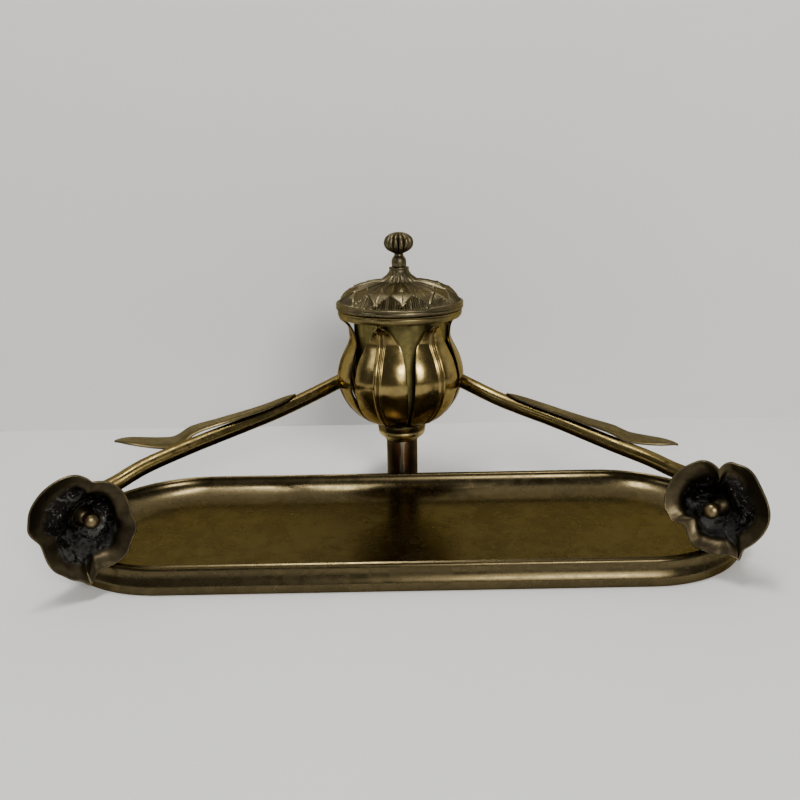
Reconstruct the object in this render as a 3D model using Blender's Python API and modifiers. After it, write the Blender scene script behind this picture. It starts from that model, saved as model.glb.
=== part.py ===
"""Brass inkstand in the Art Nouveau manner.

A long pen tray with round ends. A post behind its back rim carries a tulip of six sheet
petals round an inner cup, with a glass ink pot and a domed lid on a hinge. Two stems
leave the sides of the tulip, each with a leaf, and end in a poppy over each front corner
of the tray. The frame has +X to the right, -Y to the front and +Z up, with the origin on
the table under the middle of the whole object.
"""

import bmesh
import bpy
from math import asin, cos, degrees, pi, radians, sin
from mathutils import Matrix, Vector

MM = 0.001
GAP = 0.3 * MM  # between pieces that touch in the real object
MERGE = 0.00001

# ---------------------------------------------------------------- driving dimensions
TRAY_LENGTH = 310 * MM
TRAY_DEPTH = 108 * MM
TRAY_HEIGHT = 11.2 * MM
TRAY_SHEET = 1.4 * MM
TRAY_Y = -19.1 * MM  # middle of the tray, so that the whole object is centred on the origin
RIM_SETBACK = 2.2 * MM  # from the foot of the skirt in to the land of the rim
RIM_LAND = 3.3 * MM
COVE_WIDTH = 17 * MM
FLOOR_TOP = 2.2 * MM

FOOT_THICKNESS = 2.0 * MM
FOOT_REACH = 10.5 * MM  # how far the tongue runs forward, past the skirt of the tray
ROD_RADIUS = 2.0 * MM
NUT_RADIUS = 4.2 * MM
NUT_HEIGHT = 3.2 * MM

POST_RADIUS = 8.2 * MM
POST_TOP = 27 * MM
FOOT_WIDTH = 2 * POST_RADIUS - 1.4 * MM
COLLAR_RADIUS = POST_RADIUS + 4.5 * MM
COLLAR_HEIGHT = 9.3 * MM

CUP_RADIUS = 23.7 * MM
CUP_WALL = 1.0 * MM

PETALS = 6
PETAL_PHASE = -20.8  # degrees from the front towards the right, of the first petal
PETAL_SHEET = 0.9 * MM
PETAL_RIB = 0.5 * MM
BULB_RADIUS = CUP_RADIUS + 8.9 * MM
WAIST_RADIUS = CUP_RADIUS + 1.8 * MM
BULB_HEIGHT = 55.3 * MM  # from the foot of the petals to their tips
SWELL_SHARE = 0.432  # how far up a petal its widest place is

RING_RADIUS = CUP_RADIUS + 8.2 * MM
RING_HEIGHT = 3.9 * MM
RING_STEP = 1.4 * MM  # depth of the seat for the flange of the pot
SEAT_WIDTH = 3.2 * MM
POT_WALL = 2.3 * MM
POT_FLANGE = 1.0 * MM

LID_RADIUS = RING_RADIUS + 0.7 * MM
LID_BAND = 3.3 * MM
LID_WALL = 2.6 * MM
LID_RISE = 20.6 * MM  # from the seam to the top of the small neck
LID_NECK = 5.1 * MM
LID_BOSS = 4.8 * MM  # thickness of the lid where the finial's shank goes through
FINIAL_NUT = 2.2 * MM
SHANK_RADIUS = 1.5 * MM
HEAD_RADIUS = 7.6 * MM
HEAD_HEIGHT = 9.9 * MM
BEAD_HEIGHT = 6.7 * MM
HEAD_RIBS = 14

KNUCKLE_RADIUS = 2.0 * MM
HINGE_PIN_RADIUS = 0.9 * MM
HINGE_CLEARANCE = 0.25 * MM
HINGE_WIDTH = 12 * MM
LID_KNUCKLE = 3.7 * MM

STEM_RADIUS = 3.6 * MM
STRAIGHT_END = 2.5 * MM  # last stretch of a stem, in line with the flower
LEAF_SHEET = 1.0 * MM
LEAF_WIDTH = 12 * MM

FLOWER_SHEET = 0.8 * MM
FLOWER_DEPTH = 14 * MM
THROAT_RADIUS = STEM_RADIUS + 1.9 * MM
CALYX_LENGTH = 6.6 * MM
PISTIL_SHANK = 1.0 * MM
KNOB_RADIUS = 3.5 * MM

# ---------------------------------------------------------------- derived places
POST_Y = TRAY_Y + TRAY_DEPTH / 2 + GAP + POST_RADIUS
COLLAR_TOP = POST_TOP + GAP + COLLAR_HEIGHT
PETAL_FOOT = COLLAR_TOP + GAP
CUP_BOTTOM = PETAL_FOOT + PETAL_SHEET + GAP
TIP_TOP = PETAL_FOOT + BULB_HEIGHT
RING_BOTTOM = TIP_TOP + 1.2 * MM
RING_TOP = RING_BOTTOM + RING_HEIGHT
SEAT_Z = RING_TOP - RING_STEP
SEAM_Z = RING_TOP + GAP
RING_BORE = CUP_RADIUS + GAP
SEAT_RADIUS = RING_BORE + SEAT_WIDTH
NECK_TOP = SEAM_Z + LID_RISE
BORE = ROD_RADIUS + GAP
HINGE_Y = POST_Y + LID_RADIUS + 0.6 * MM + KNUCKLE_RADIUS
HINGE_Z = SEAM_Z - 0.1 * MM
POST_AXIS = Vector((0, POST_Y, 0))

# Each side: how far below the swell of the tulip its stem leaves, how the stem bows away
# from a straight line (share of the way, rise in millimetres), where it bends towards the
# flower, how far the flower's middle is in from the tray's end and front, its height and
# its throat. A leaf follows its stem (step along it, how far behind it and above its top),
# is rolled towards the front, and ends in a tip. Places are in millimetres, outwards from
# the middle, so both sides read alike. A rim is an uneven round: angle in degrees, radius
# in millimetres, and whether the outline comes to a point there.
SIDES = {
    "left": {
        "sign": -1,
        "leaves_below": 2.4,
        "bow": ((0.16, -0.8), (0.32, -0.9), (0.5, 0.2), (0.7, 1.6), (0.88, 1.9)),
        "knee": (-10.0, 19.5, 2.6),
        "inset": (26.8, 3.8),
        "height": 29.8,
        "throat": (2.9, 1.8),
        "leaf": ((5, 0, 0.1), (8, 0, 0.2), (12, 2.8, 0.9), (15, 8.8, 0.4), (17, 12.0, -2.3)),
        "leaf_roll": 0.16,
        "leaf_tip": (-8.0, 35.0, 19.0),
        "rim": (
            (2, 18.9, False),
            (38, 19.8, False),
            (70, 17.6, True),
            (100, 21.3, False),
            (145, 21.4, False),
            (168, 20.6, False),
            (193, 17.1, False),
            (235, 20.2, False),
            (254, 21.4, False),
            (266, 23.7, True),
            (280, 19.4, False),
            (312, 20.9, False),
            (328, 20.1, False),
            (342, 20.7, False),
        ),
    },
    "right": {
        "sign": 1,
        "leaves_below": 3.6,
        "bow": ((0.2, -1.4), (0.34, -1.0), (0.5, -0.2), (0.75, 0.0), (0.92, 0.5)),
        "knee": (-17.6, 25.0, 5.0),
        "inset": (27.7, 9.8),
        "height": 31.4,
        "throat": (-1.3, -2.6),
        "leaf": ((5, 0, 0.1), (8, 0, 0.4), (12, 1.5, 0.8), (15, 4.6, 1.2), (17, 7.6, 0.0)),
        "leaf_roll": 0.05,
        "leaf_tip": (-11.0, 35.0, 13.5),
        "rim": (
            (32, 18.6, False),
            (58, 19.5, False),
            (76, 18.6, False),
            (95, 14.4, True),
            (120, 18.8, False),
            (160, 19.9, False),
            (193, 20.6, False),
            (208, 19.6, False),
            (224, 16.6, False),
            (256, 19.9, False),
            (289, 20.2, False),
            (300, 23.0, True),
            (311, 19.8, False),
            (350, 20.3, False),
        ),
    },
}
RIM_FACES = (35, 11)  # degrees inwards from the front, and degrees up
THROAT_FACES = (49.5, -4)

# ---------------------------------------------------------------- set-up
for old in list(bpy.data.objects):
    bpy.data.objects.remove(old, do_unlink=True)

PARTS = bpy.data.collections.new("inkstand")
CUTTERS = bpy.data.collections.new("inkstand_cutters")
for collection in (PARTS, CUTTERS):
    bpy.context.scene.collection.children.link(collection)


def finish(name, colour, roughness, metallic=1.0, alpha=1.0):
    """A Principled material of one colour."""
    material = bpy.data.materials.new(name)
    material.use_nodes = True
    shader = material.node_tree.nodes["Principled BSDF"]
    shader.inputs["Base Color"].default_value = (*colour, 1)
    shader.inputs["Roughness"].default_value = roughness
    shader.inputs["Metallic"].default_value = metallic
    shader.inputs["Alpha"].default_value = alpha
    return material


TRAY_BRASS = finish("tray_brass", (0.32, 0.24, 0.09), 0.32)
PETAL_BRASS = finish("petal_brass", (0.42, 0.31, 0.12), 0.28)
LID_BRASS = finish("lid_brass", (0.26, 0.20, 0.09), 0.38)
STEM_BRASS = finish("stem_brass", (0.24, 0.16, 0.06), 0.35)
DARK_BRASS = finish("dark_brass", (0.08, 0.06, 0.035), 0.5)
FLOWER_BRASS = finish("flower_brass", (0.12, 0.08, 0.045), 0.5)
POT_GLASS = finish("pot_glass", (0.75, 0.85, 0.82), 0.08, metallic=0.0, alpha=0.5)


# ---------------------------------------------------------------- shapes
def place(name, mesh, material, matrix=None):
    """A part from a mesh or a curve, in the object's collection."""
    part = bpy.data.objects.new(name, mesh)
    mesh.materials.append(material)
    PARTS.objects.link(part)
    if matrix is not None:
        part.matrix_world = matrix
    return part


def smooth(part, angle=35):
    """Shade a mesh smooth up to an edge angle."""
    part.data.shade_smooth()
    part.data.set_sharp_from_angle(angle=radians(angle))
    return part


def through(points, count):
    """Points along a smooth curve through a few given ones, evenly in length."""
    knots = [Vector(p) for p in points]
    along = [0.0]
    for a, b in zip(knots, knots[1:]):
        along.append(along[-1] + (b - a).length)
    last = len(knots) - 1
    slopes = []
    for i in range(len(knots)):
        lo, hi = max(i - 1, 0), min(i + 1, last)
        slopes.append((knots[hi] - knots[lo]) / (along[hi] - along[lo]))
    curve = []
    for n in range(count):
        s = along[-1] * n / (count - 1)
        i = min(sum(a <= s for a in along) - 1, last - 1)
        span = along[i + 1] - along[i]
        t = (s - along[i]) / span
        curve.append(
            knots[i] * (2 * t**3 - 3 * t**2 + 1)
            + slopes[i] * span * (t**3 - 2 * t**2 + t)
            + knots[i + 1] * (3 * t**2 - 2 * t**3)
            + slopes[i + 1] * span * (t**3 - t**2)
        )
    return curve


def polyline(points, closed):
    """A mesh of edges in the XZ plane through (radius, height) points."""
    bm = bmesh.new()
    corners = [bm.verts.new((r, 0, z)) for r, z in points]
    for a, b in zip(corners, corners[1:]):
        bm.edges.new((a, b))
    if closed:
        bm.edges.new((corners[-1], corners[0]))
    mesh = bpy.data.meshes.new("profile")
    bm.to_mesh(mesh)
    bm.free()
    return mesh


def turned(name, profile, material, matrix, steps=32, closed=False):
    """A lathe piece: its profile runs down the outer side, from the top."""
    part = place(name, polyline(profile, closed), material, matrix)
    screw = part.modifiers.new("turn", "SCREW")
    screw.steps = screw.render_steps = steps
    screw.use_merge_vertices = True
    screw.merge_threshold = MERGE
    screw.use_smooth_shade = True
    return part


def hex_nut(name, low, height, across, bore, matrix):
    """A six-sided nut; its hole has six sides too, so it clears a round rod."""
    corner = bore / cos(pi / 6)
    profile = [(across, low + height), (across, low), (corner, low), (corner, low + height)]
    return turned(name, profile, DARK_BRASS, matrix, steps=6, closed=True)


def on_post(height=0.0):
    return Matrix.Translation(POST_AXIS + Vector((0, 0, height)))


def cut(part, cutter, operation="DIFFERENCE"):
    """Boolean with a cutter, which is kept out of sight."""
    for collection in list(cutter.users_collection):
        collection.objects.unlink(cutter)
    CUTTERS.objects.link(cutter)
    cutter.hide_render = True
    cutter.display_type = "WIRE"
    boolean = part.modifiers.new(operation.lower(), "BOOLEAN")
    boolean.operation = operation
    boolean.object = cutter
    boolean.solver = "EXACT"


def box(name, low, high, material):
    """A block between two corners."""
    bm = bmesh.new()
    bmesh.ops.create_cube(bm, size=1)
    low, high = Vector(low), Vector(high)
    bmesh.ops.scale(bm, verts=bm.verts, vec=high - low)
    bmesh.ops.translate(bm, verts=bm.verts, vec=(low + high) / 2)
    mesh = bpy.data.meshes.new(name)
    bm.to_mesh(mesh)
    bm.free()
    return place(name, mesh, material)


def rod(name, radius, start, end, material, sides=20):
    """A cylinder along X, on the hinge's axis."""
    bm = bmesh.new()
    bmesh.ops.create_cone(
        bm,
        cap_ends=True,
        segments=sides,
        radius1=radius,
        radius2=radius,
        depth=end - start,
        matrix=Matrix.Translation(((start + end) / 2, HINGE_Y, HINGE_Z))
        @ Matrix.Rotation(pi / 2, 4, "Y"),
    )
    mesh = bpy.data.meshes.new(name)
    bm.to_mesh(mesh)
    bm.free()
    return place(name, mesh, material)


def sheet(name, rows, columns, point, thickness, material):
    """A sheet piece: point(across, along) gives its outer face, and Solidify its wall."""
    bm = bmesh.new()
    bmesh.ops.create_grid(bm, x_segments=columns, y_segments=rows, size=1)
    for v in bm.verts:
        v.co = point(v.co.x, (v.co.y + 1) / 2)
    mesh = bpy.data.meshes.new(name)
    bm.to_mesh(mesh)
    bm.free()
    part = smooth(place(name, mesh, material), 60)
    wall = part.modifiers.new("wall", "SOLIDIFY")
    wall.thickness = thickness
    wall.offset = -1
    return part


# ---------------------------------------------------------------- tray and foot
def tray_profile():
    """Section of the tray from its middle out: down the skirt's outside, back inside."""
    half = TRAY_DEPTH / 2
    crest = half - RIM_SETBACK - RIM_LAND
    cove_foot = crest - COVE_WIDTH
    fall = TRAY_HEIGHT - FLOOR_TOP
    arc = [radians(a) for a in (0, 18, 36, 54, 72, 90)]
    top = [(cove_foot + COVE_WIDTH * cos(a), TRAY_HEIGHT - fall * sin(a)) for a in arc]
    outside = [
        (half - RIM_SETBACK - 0.4 * MM, TRAY_HEIGHT),
        (half - RIM_SETBACK, TRAY_HEIGHT - 0.7 * MM),
        (half - 0.55 * RIM_SETBACK, TRAY_HEIGHT * 0.6),
        (half, TRAY_HEIGHT * 0.33),
        (half - 0.6 * MM, 0),
    ]
    inner = half - TRAY_SHEET
    inside = [
        (inner - 0.6 * MM, 0),
        (inner, TRAY_HEIGHT * 0.33),
        (inner - 0.7 * RIM_SETBACK, TRAY_HEIGHT - 2 * TRAY_SHEET),
        (crest + 1.0 * MM, TRAY_HEIGHT - TRAY_SHEET),
    ]
    under = [
        (
            cove_foot + (COVE_WIDTH + TRAY_SHEET) * cos(a),
            TRAY_HEIGHT - (fall + TRAY_SHEET) * sin(a),
        )
        for a in arc[1:]
    ]
    return [(0, FLOOR_TOP)] + top[::-1] + outside + inside + under + [(0, FLOOR_TOP - TRAY_SHEET)]


def pen_tray():
    """One quarter: a turned end carried on as a straight side, then mirrored twice."""
    end_x = (TRAY_LENGTH - TRAY_DEPTH) / 2
    profile = tray_profile()
    bm = bmesh.new()
    corners = [bm.verts.new((0, r, z)) for r, z in profile]
    edges = [bm.edges.new(pair) for pair in zip(corners, corners[1:])]
    straight = bmesh.ops.extrude_edge_only(bm, edges=edges)
    moved = [g for g in straight["geom"] if isinstance(g, bmesh.types.BMVert)]
    bmesh.ops.translate(bm, verts=moved, vec=(end_x, 0, 0))
    front = [g for g in straight["geom"] if isinstance(g, bmesh.types.BMEdge)]
    bmesh.ops.spin(
        bm,
        geom=moved + front,
        cent=(end_x, 0, 0),
        axis=(0, 0, -1),
        angle=pi / 2,
        steps=9,
        use_merge=False,
    )
    bmesh.ops.remove_doubles(bm, verts=bm.verts, dist=MERGE)
    bmesh.ops.recalc_face_normals(bm, faces=bm.faces)
    mesh = bpy.data.meshes.new("pen_tray")
    bm.to_mesh(mesh)
    bm.free()
    part = place("pen_tray", mesh, TRAY_BRASS, Matrix.Translation((0, TRAY_Y, 0)))
    mirror = part.modifiers.new("halves", "MIRROR")
    mirror.use_axis = (True, True, False)
    mirror.merge_threshold = MERGE
    slot_y = TRAY_Y + TRAY_DEPTH / 2
    slot = box(
        "foot_slot",
        (-FOOT_WIDTH / 2 - GAP, slot_y - 6 * MM, -1 * MM),
        (FOOT_WIDTH / 2 + GAP, slot_y + 2 * MM, FOOT_THICKNESS + GAP),
        TRAY_BRASS,
    )
    cut(part, slot)
    return smooth(part)


def foot_bracket():
    """A flat strap: a disc under the post and a tongue forward under the tray."""
    disc = POST_RADIUS + 0.8 * MM
    bite = asin(FOOT_WIDTH / 2 / disc)
    outline = [(-FOOT_WIDTH / 2, -disc - FOOT_REACH), (FOOT_WIDTH / 2, -disc - FOOT_REACH)]
    for n in range(25):
        a = -pi / 2 + bite + (2 * pi - 2 * bite) * n / 24
        outline.append((disc * cos(a), disc * sin(a)))
    hole = [(BORE * cos(a), BORE * sin(a)) for a in (2 * pi * n / 16 for n in range(16))]
    curve = bpy.data.curves.new("foot_bracket", "CURVE")
    curve.dimensions = "2D"
    curve.fill_mode = "BOTH"
    curve.extrude = FOOT_THICKNESS / 2
    for ring in (outline, hole):
        spline = curve.splines.new("POLY")
        spline.points.add(len(ring) - 1)
        for point, (x, y) in zip(spline.points, ring):
            point.co = (x, y, 0, 1)
        spline.use_cyclic_u = True
    return place("foot_bracket", curve, DARK_BRASS, on_post(FOOT_THICKNESS / 2))


def post():
    bottom = FOOT_THICKNESS + GAP
    profile = [
        (POST_RADIUS, POST_TOP),
        (POST_RADIUS, bottom),
        (BORE, bottom),
        (BORE, POST_TOP),
    ]
    return turned("post", profile, DARK_BRASS, on_post(), closed=True)


def post_collar():
    """A moulded collar: a flared band above a rounded ring."""
    foot = POST_TOP + GAP
    r = COLLAR_RADIUS
    profile = [
        (r, COLLAR_TOP),
        (r, foot + 7.6 * MM),
        (r - 0.5 * MM, foot + 5 * MM),
        (r - 1.6 * MM, foot + 3.2 * MM),
        (POST_RADIUS + 1.4 * MM, foot + 1.4 * MM),
        (POST_RADIUS + 0.2 * MM, foot),
        (BORE, foot),
        (BORE, COLLAR_TOP),
    ]
    return turned("post_collar", profile, DARK_BRASS, on_post(), closed=True)


def tie_rod():
    """The rod that draws foot, post, collar, petals and cup together."""
    top = CUP_BOTTOM + CUP_WALL + 2 * GAP + NUT_HEIGHT + 0.3 * MM
    profile = [(0, top), (ROD_RADIUS, top), (ROD_RADIUS, GAP), (0, GAP)]
    turned("tie_rod", profile, DARK_BRASS, on_post(), steps=16)
    low = CUP_BOTTOM + CUP_WALL + GAP
    hex_nut("tie_nut", low, NUT_HEIGHT, NUT_RADIUS, BORE, on_post())


# ---------------------------------------------------------------- tulip
def petal_outline():
    """Radius, height above the foot and half width of a petal, from foot to tip."""
    b, w, h = BULB_RADIUS, WAIST_RADIUS, BULB_HEIGHT
    return [
        (6.0 * MM, 0, 2.6 * MM),
        (12 * MM, 0.1 * MM, 5.6 * MM),
        (b - 15 * MM, 0.03 * h, 8.6 * MM),
        (b - 10.3 * MM, 0.08 * h, 11.0 * MM),
        (b - 4.1 * MM, 0.213 * h, 13.8 * MM),
        (b - 0.7 * MM, 0.354 * h, 15.0 * MM),
        (b, SWELL_SHARE * h, 15.1 * MM),
        (b - 0.35 * MM, 0.51 * h, 14.8 * MM),
        ((b + w) / 2 + 1.2 * MM, 0.634 * h, 13.5 * MM),
        (w + 0.6 * MM, 0.785 * h, 9.7 * MM),
        (w + 0.1 * MM, 0.845 * h, 7.4 * MM),
        (w + 1.4 * MM, 0.93 * h, 4.4 * MM),
        (w + 5.7 * MM, h, 0.3 * MM),
    ]


def petal(number):
    """One petal, bent from sheet, with a raised rib down its middle."""
    middle = radians(PETAL_PHASE + 360 / PETALS * number) - pi / 2
    rows = 13
    curve = through(petal_outline(), rows + 1)

    def point(across, along):
        r, z, half_width = curve[round(along * rows)]
        angle = middle + across * half_width / r
        rib = PETAL_RIB if abs(across) < 0.01 and 0.1 < along < 0.9 else 0
        return POST_AXIS + Vector(
            ((r + rib) * cos(angle), (r + rib) * sin(angle), PETAL_FOOT + z)
        )

    name = f"petal_{number + 1}"
    return sheet(name, rows, 6, point, PETAL_SHEET, PETAL_BRASS)


def inner_cup():
    r, bottom, w = CUP_RADIUS, CUP_BOTTOM, CUP_WALL
    top = SEAT_Z - GAP
    outer = [
        (r, top),
        (r, bottom + 18 * MM),
        (r - 0.5 * MM, bottom + 12.4 * MM),
        (r - 2.1 * MM, bottom + 7.4 * MM),
        (r - 5.1 * MM, bottom + 3.7 * MM),
        (r - 9.7 * MM, bottom + 1.2 * MM),
        (r - 14.7 * MM, bottom + 0.1 * MM),
        (BORE, bottom),
    ]
    inner = [(x - w * min(1, x / (20 * MM)), z + w) for x, z in outer[:0:-1][1:]]
    profile = outer + [(BORE, bottom + w)] + inner + [(r - w, top)]
    return turned("inner_cup", profile, LID_BRASS, on_post(), closed=True)


def cup_ring():
    """The bezel on top of the cup, with a seat for the flange of the pot."""
    profile = [
        (RING_RADIUS - 0.3 * MM, RING_TOP),
        (RING_RADIUS, RING_TOP - 0.4 * MM),
        (RING_RADIUS - 0.1 * MM, RING_TOP - 1.6 * MM),
        (RING_RADIUS - 0.6 * MM, RING_BOTTOM),
        (RING_BORE, RING_BOTTOM),
        (RING_BORE, SEAT_Z),
        (SEAT_RADIUS, SEAT_Z),
        (SEAT_RADIUS, RING_TOP),
    ]
    return turned("cup_ring", profile, LID_BRASS, on_post(), closed=True)


def ink_pot():
    """A glass pot that hangs in the cup by its flange."""
    outer = CUP_RADIUS - CUP_WALL - 0.4 * MM
    inner = outer - POT_WALL
    flange = SEAT_RADIUS - GAP
    low = CUP_BOTTOM + CUP_WALL + GAP + NUT_HEIGHT + 1.4 * MM
    seat = SEAT_Z + GAP
    profile = [
        (inner + 0.8 * MM, seat + POT_FLANGE),
        (flange, seat + POT_FLANGE),
        (flange, seat),
        (outer, seat),
        (outer, low + 14 * MM),
        (outer - 1.8 * MM, low + 3.5 * MM),
        (outer - 5 * MM, low),
        (0, low),
        (0, low + POT_WALL),
        (inner - 4 * MM, low + POT_WALL),
        (inner - 1.3 * MM, low + POT_WALL + 3 * MM),
        (inner, low + 15 * MM),
        (inner, seat - 1.5 * MM),
    ]
    return turned("ink_pot", profile, POT_GLASS, on_post(), closed=True)


# ---------------------------------------------------------------- lid
def lid():
    """A domed lid, hollow beneath, with a plain band at its edge and a small neck."""
    r, z, top = LID_RADIUS, SEAM_Z, NECK_TOP
    bore = SHANK_RADIUS + GAP
    outer = [
        (bore, top),
        (LID_NECK, top),
        (LID_NECK + 0.4 * MM, top - 2.1 * MM),
        (LID_NECK + 1.8 * MM, top - 4.2 * MM),
        (LID_NECK + 5.1 * MM, top - 6.7 * MM),
        (0.46 * r, z + 0.62 * LID_RISE),
        (0.60 * r, z + 0.57 * LID_RISE),
        (0.77 * r, z + 0.475 * LID_RISE),
        (0.87 * r, z + 0.355 * LID_RISE),
        (0.95 * r, z + 0.22 * LID_RISE),
        (r, z + LID_BAND),
        (r, z + 0.3 * MM),
        (r - 0.3 * MM, z),
    ]
    w = LID_WALL
    inner = [
        (r - w, z),
        (r - w, z + LID_BAND - 1 * MM),
        (0.88 * r - 0.5 * w, z + 0.355 * LID_RISE - 0.8 * w),
        (0.70 * r, z + 0.51 * LID_RISE - 0.9 * w),
        (0.40 * r, z + 0.62 * LID_RISE - 0.9 * w),
        (LID_NECK + 1.2 * MM, top - 5.2 * MM - w),
        (LID_NECK - 0.3 * MM, top - LID_BOSS),
        (bore, top - LID_BOSS),
    ]
    return turned("lid", outer + inner, LID_BRASS, on_post(), closed=True)


def finial():
    """A bead and neck on a shank through the lid, a nut under it, and a ribbed head."""
    low = NECK_TOP - 8.6 * MM
    bead = NECK_TOP + GAP
    stem = [
        (0, bead + BEAD_HEIGHT),
        (2.6 * MM, bead + BEAD_HEIGHT),
        (2.4 * MM, bead + BEAD_HEIGHT - 1.4 * MM),
        (3.4 * MM, bead + 4.6 * MM),
        (3.8 * MM, bead + 2.8 * MM),
        (3.3 * MM, bead + 0.8 * MM),
        (2.6 * MM, bead),
        (SHANK_RADIUS, bead),
        (SHANK_RADIUS, low),
        (0, low),
    ]
    turned("finial_stem", stem, LID_BRASS, on_post(), steps=20)

    nut_low = NECK_TOP - LID_BOSS - GAP - FINIAL_NUT
    hex_nut("finial_nut", nut_low, FINIAL_NUT, 3.4 * MM, SHANK_RADIUS + GAP, on_post())

    bm = bmesh.new()
    bmesh.ops.create_uvsphere(bm, u_segments=2 * HEAD_RIBS, v_segments=9, radius=1)
    middle = bead + BEAD_HEIGHT + GAP + HEAD_HEIGHT / 2
    for n, v in enumerate(bm.verts):
        out = Vector((v.co.x, v.co.y, 0)).length
        turn = round(degrees(Vector((1, 0)).angle(Vector(v.co.xy)))) if out > 0.01 else 0
        groove = 0.9 if round(turn * HEAD_RIBS / 180) % 2 else 1.0
        v.co = Vector(
            (
                v.co.x * HEAD_RADIUS * groove,
                v.co.y * HEAD_RADIUS * groove,
                v.co.z * HEAD_HEIGHT / 2 + middle,
            )
        )
    mesh = bpy.data.meshes.new("finial_head")
    bm.to_mesh(mesh)
    bm.free()
    smooth(place("finial_head", mesh, LID_BRASS, on_post()), 50)


def hinge():
    """Three knuckles on one pin: the outer two on the ring, the middle one on the lid."""
    half = HINGE_WIDTH / 2
    inner = LID_KNUCKLE / 2 + GAP
    ring_back = POST_Y + RING_RADIUS + GAP
    lid_back = POST_Y + LID_RADIUS + GAP
    bore = HINGE_PIN_RADIUS + HINGE_CLEARANCE
    leaf = box(
        "hinge_leaf_ring",
        (-half, ring_back, RING_BOTTOM + 0.2 * MM),
        (half, HINGE_Y, HINGE_Z - KNUCKLE_RADIUS - GAP),
        DARK_BRASS,
    )
    for side in (-1, 1):
        ends = sorted((side * inner, side * half))
        cheek = box(
            "cheek",
            (ends[0], ring_back + 0.2 * MM, RING_BOTTOM + 0.6 * MM),
            (ends[1], HINGE_Y + 0.8 * MM, HINGE_Z - 0.3 * MM),
            DARK_BRASS,
        )
        cut(leaf, cheek, "UNION")
        cut(leaf, rod("knuckle", KNUCKLE_RADIUS, *ends, DARK_BRASS), "UNION")
    cut(leaf, rod("ring_bore", bore, -half - MM, half + MM, DARK_BRASS, 16))

    lid_leaf = box(
        "hinge_leaf_lid",
        (-LID_KNUCKLE / 2, lid_back, SEAM_Z + 0.3 * MM),
        (LID_KNUCKLE / 2, HINGE_Y + 0.5 * MM, SEAM_Z + 2.3 * MM),
        DARK_BRASS,
    )
    knuckle = rod(
        "lid_knuckle", KNUCKLE_RADIUS, -LID_KNUCKLE / 2, LID_KNUCKLE / 2, DARK_BRASS
    )
    cut(lid_leaf, knuckle, "UNION")
    cut(lid_leaf, rod("lid_bore", bore, -half, half, DARK_BRASS, 16))

    head = HINGE_PIN_RADIUS + 0.5 * MM
    pin = [
        (0, half + 0.9 * MM),
        (head, half + 0.9 * MM),
        (head, half + GAP),
        (HINGE_PIN_RADIUS, half + GAP),
        (HINGE_PIN_RADIUS, -half - GAP),
        (head, -half - GAP),
        (head, -half - 0.9 * MM),
        (0, -half - 0.9 * MM),
    ]
    axis = Matrix.Translation((0, HINGE_Y, HINGE_Z)) @ Matrix.Rotation(pi / 2, 4, "Y")
    turned("hinge_pin", pin, DARK_BRASS, axis, steps=16)


# ---------------------------------------------------------------- flowers
def facing(sign, inwards, up):
    """Rotation whose Z points to the front, turned inwards and up."""
    return Matrix.Rotation(-sign * radians(inwards), 4, "Z") @ Matrix.Rotation(
        radians(90 - up), 4, "X"
    )


def rim_radius(rim, angle):
    """Radius of the flower's edge, in millimetres, at an angle in degrees."""
    table = rim + ((rim[0][0] + 360, *rim[0][1:]),)
    angle = (angle - rim[0][0]) % 360 + rim[0][0]
    for (a, low, low_point), (b, high, high_point) in zip(table, table[1:]):
        if a <= angle <= b:
            x = (angle - a) / (b - a)
            if low_point:
                x = sin(x * pi / 2)
            elif high_point:
                x = 1 - cos(x * pi / 2)
            else:
                x = (1 - cos(x * pi)) / 2
            return low + (high - low) * x
    return rim[0][1]


def rim_angles(rim, count):
    """Even angles round a rim, with the nearest one moved to each of its points."""
    angles = [360 * n / count for n in range(count)]
    for angle, _, pointed in rim:
        if pointed:
            angles[round(angle * count / 360) % count] = angle
    return angles


def flower_frames(side):
    """Matrices of the rim's middle and of the throat, each with +Z out of the flower."""
    sign = side["sign"]
    inset_x, inset_y = side["inset"]
    centre = Vector(
        (
            sign * (TRAY_LENGTH / 2 - inset_x * MM),
            TRAY_Y - TRAY_DEPTH / 2 + inset_y * MM,
            side["height"] * MM,
        )
    )
    rim = Matrix.Translation(centre) @ facing(sign, *RIM_FACES)
    off_x, off_y = side["throat"]
    throat = rim @ Vector((off_x * MM, off_y * MM, -FLOWER_DEPTH))
    return rim, Matrix.Translation(throat) @ facing(sign, *THROAT_FACES)


def flower(word, side):
    """A poppy beaten from one sheet: a deep bowl that opens to an uneven, lobed rim."""
    rim, throat = flower_frames(side)
    segments, rings = 36, 6
    bore = PISTIL_SHANK + GAP
    loops = []
    for angle in rim_angles(side["rim"], segments):
        edge = rim_radius(side["rim"], angle) * MM
        wave = 0.35 * (edge - 19.7 * MM)
        way = Vector((cos(radians(angle)), sin(radians(angle)), 0))
        curve = through(
            [
                throat @ (way * bore),
                throat @ (way * THROAT_RADIUS),
                throat @ (way * 1.9 * THROAT_RADIUS + Vector((0, 0, 3.4 * MM))),
                rim @ (way * (edge - 5.2 * MM) + Vector((0, 0, -4.2 * MM))),
                rim @ (way * edge + Vector((0, 0, wave))),
            ],
            rings + 1,
        )
        loops.append(curve)
    bm = bmesh.new()
    verts = [[bm.verts.new(p) for p in curve] for curve in loops]
    for n in range(segments):
        here, following = verts[n], verts[(n + 1) % segments]
        for k in range(rings):
            bm.faces.new((here[k], here[k + 1], following[k + 1], following[k]))
    name = f"flower_{word}"
    mesh = bpy.data.meshes.new(name)
    bm.to_mesh(mesh)
    bm.free()
    part = smooth(place(name, mesh, FLOWER_BRASS), 60)
    wall = part.modifiers.new("wall", "SOLIDIFY")
    wall.thickness = FLOWER_SHEET
    wall.offset = -1
    return throat


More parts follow.
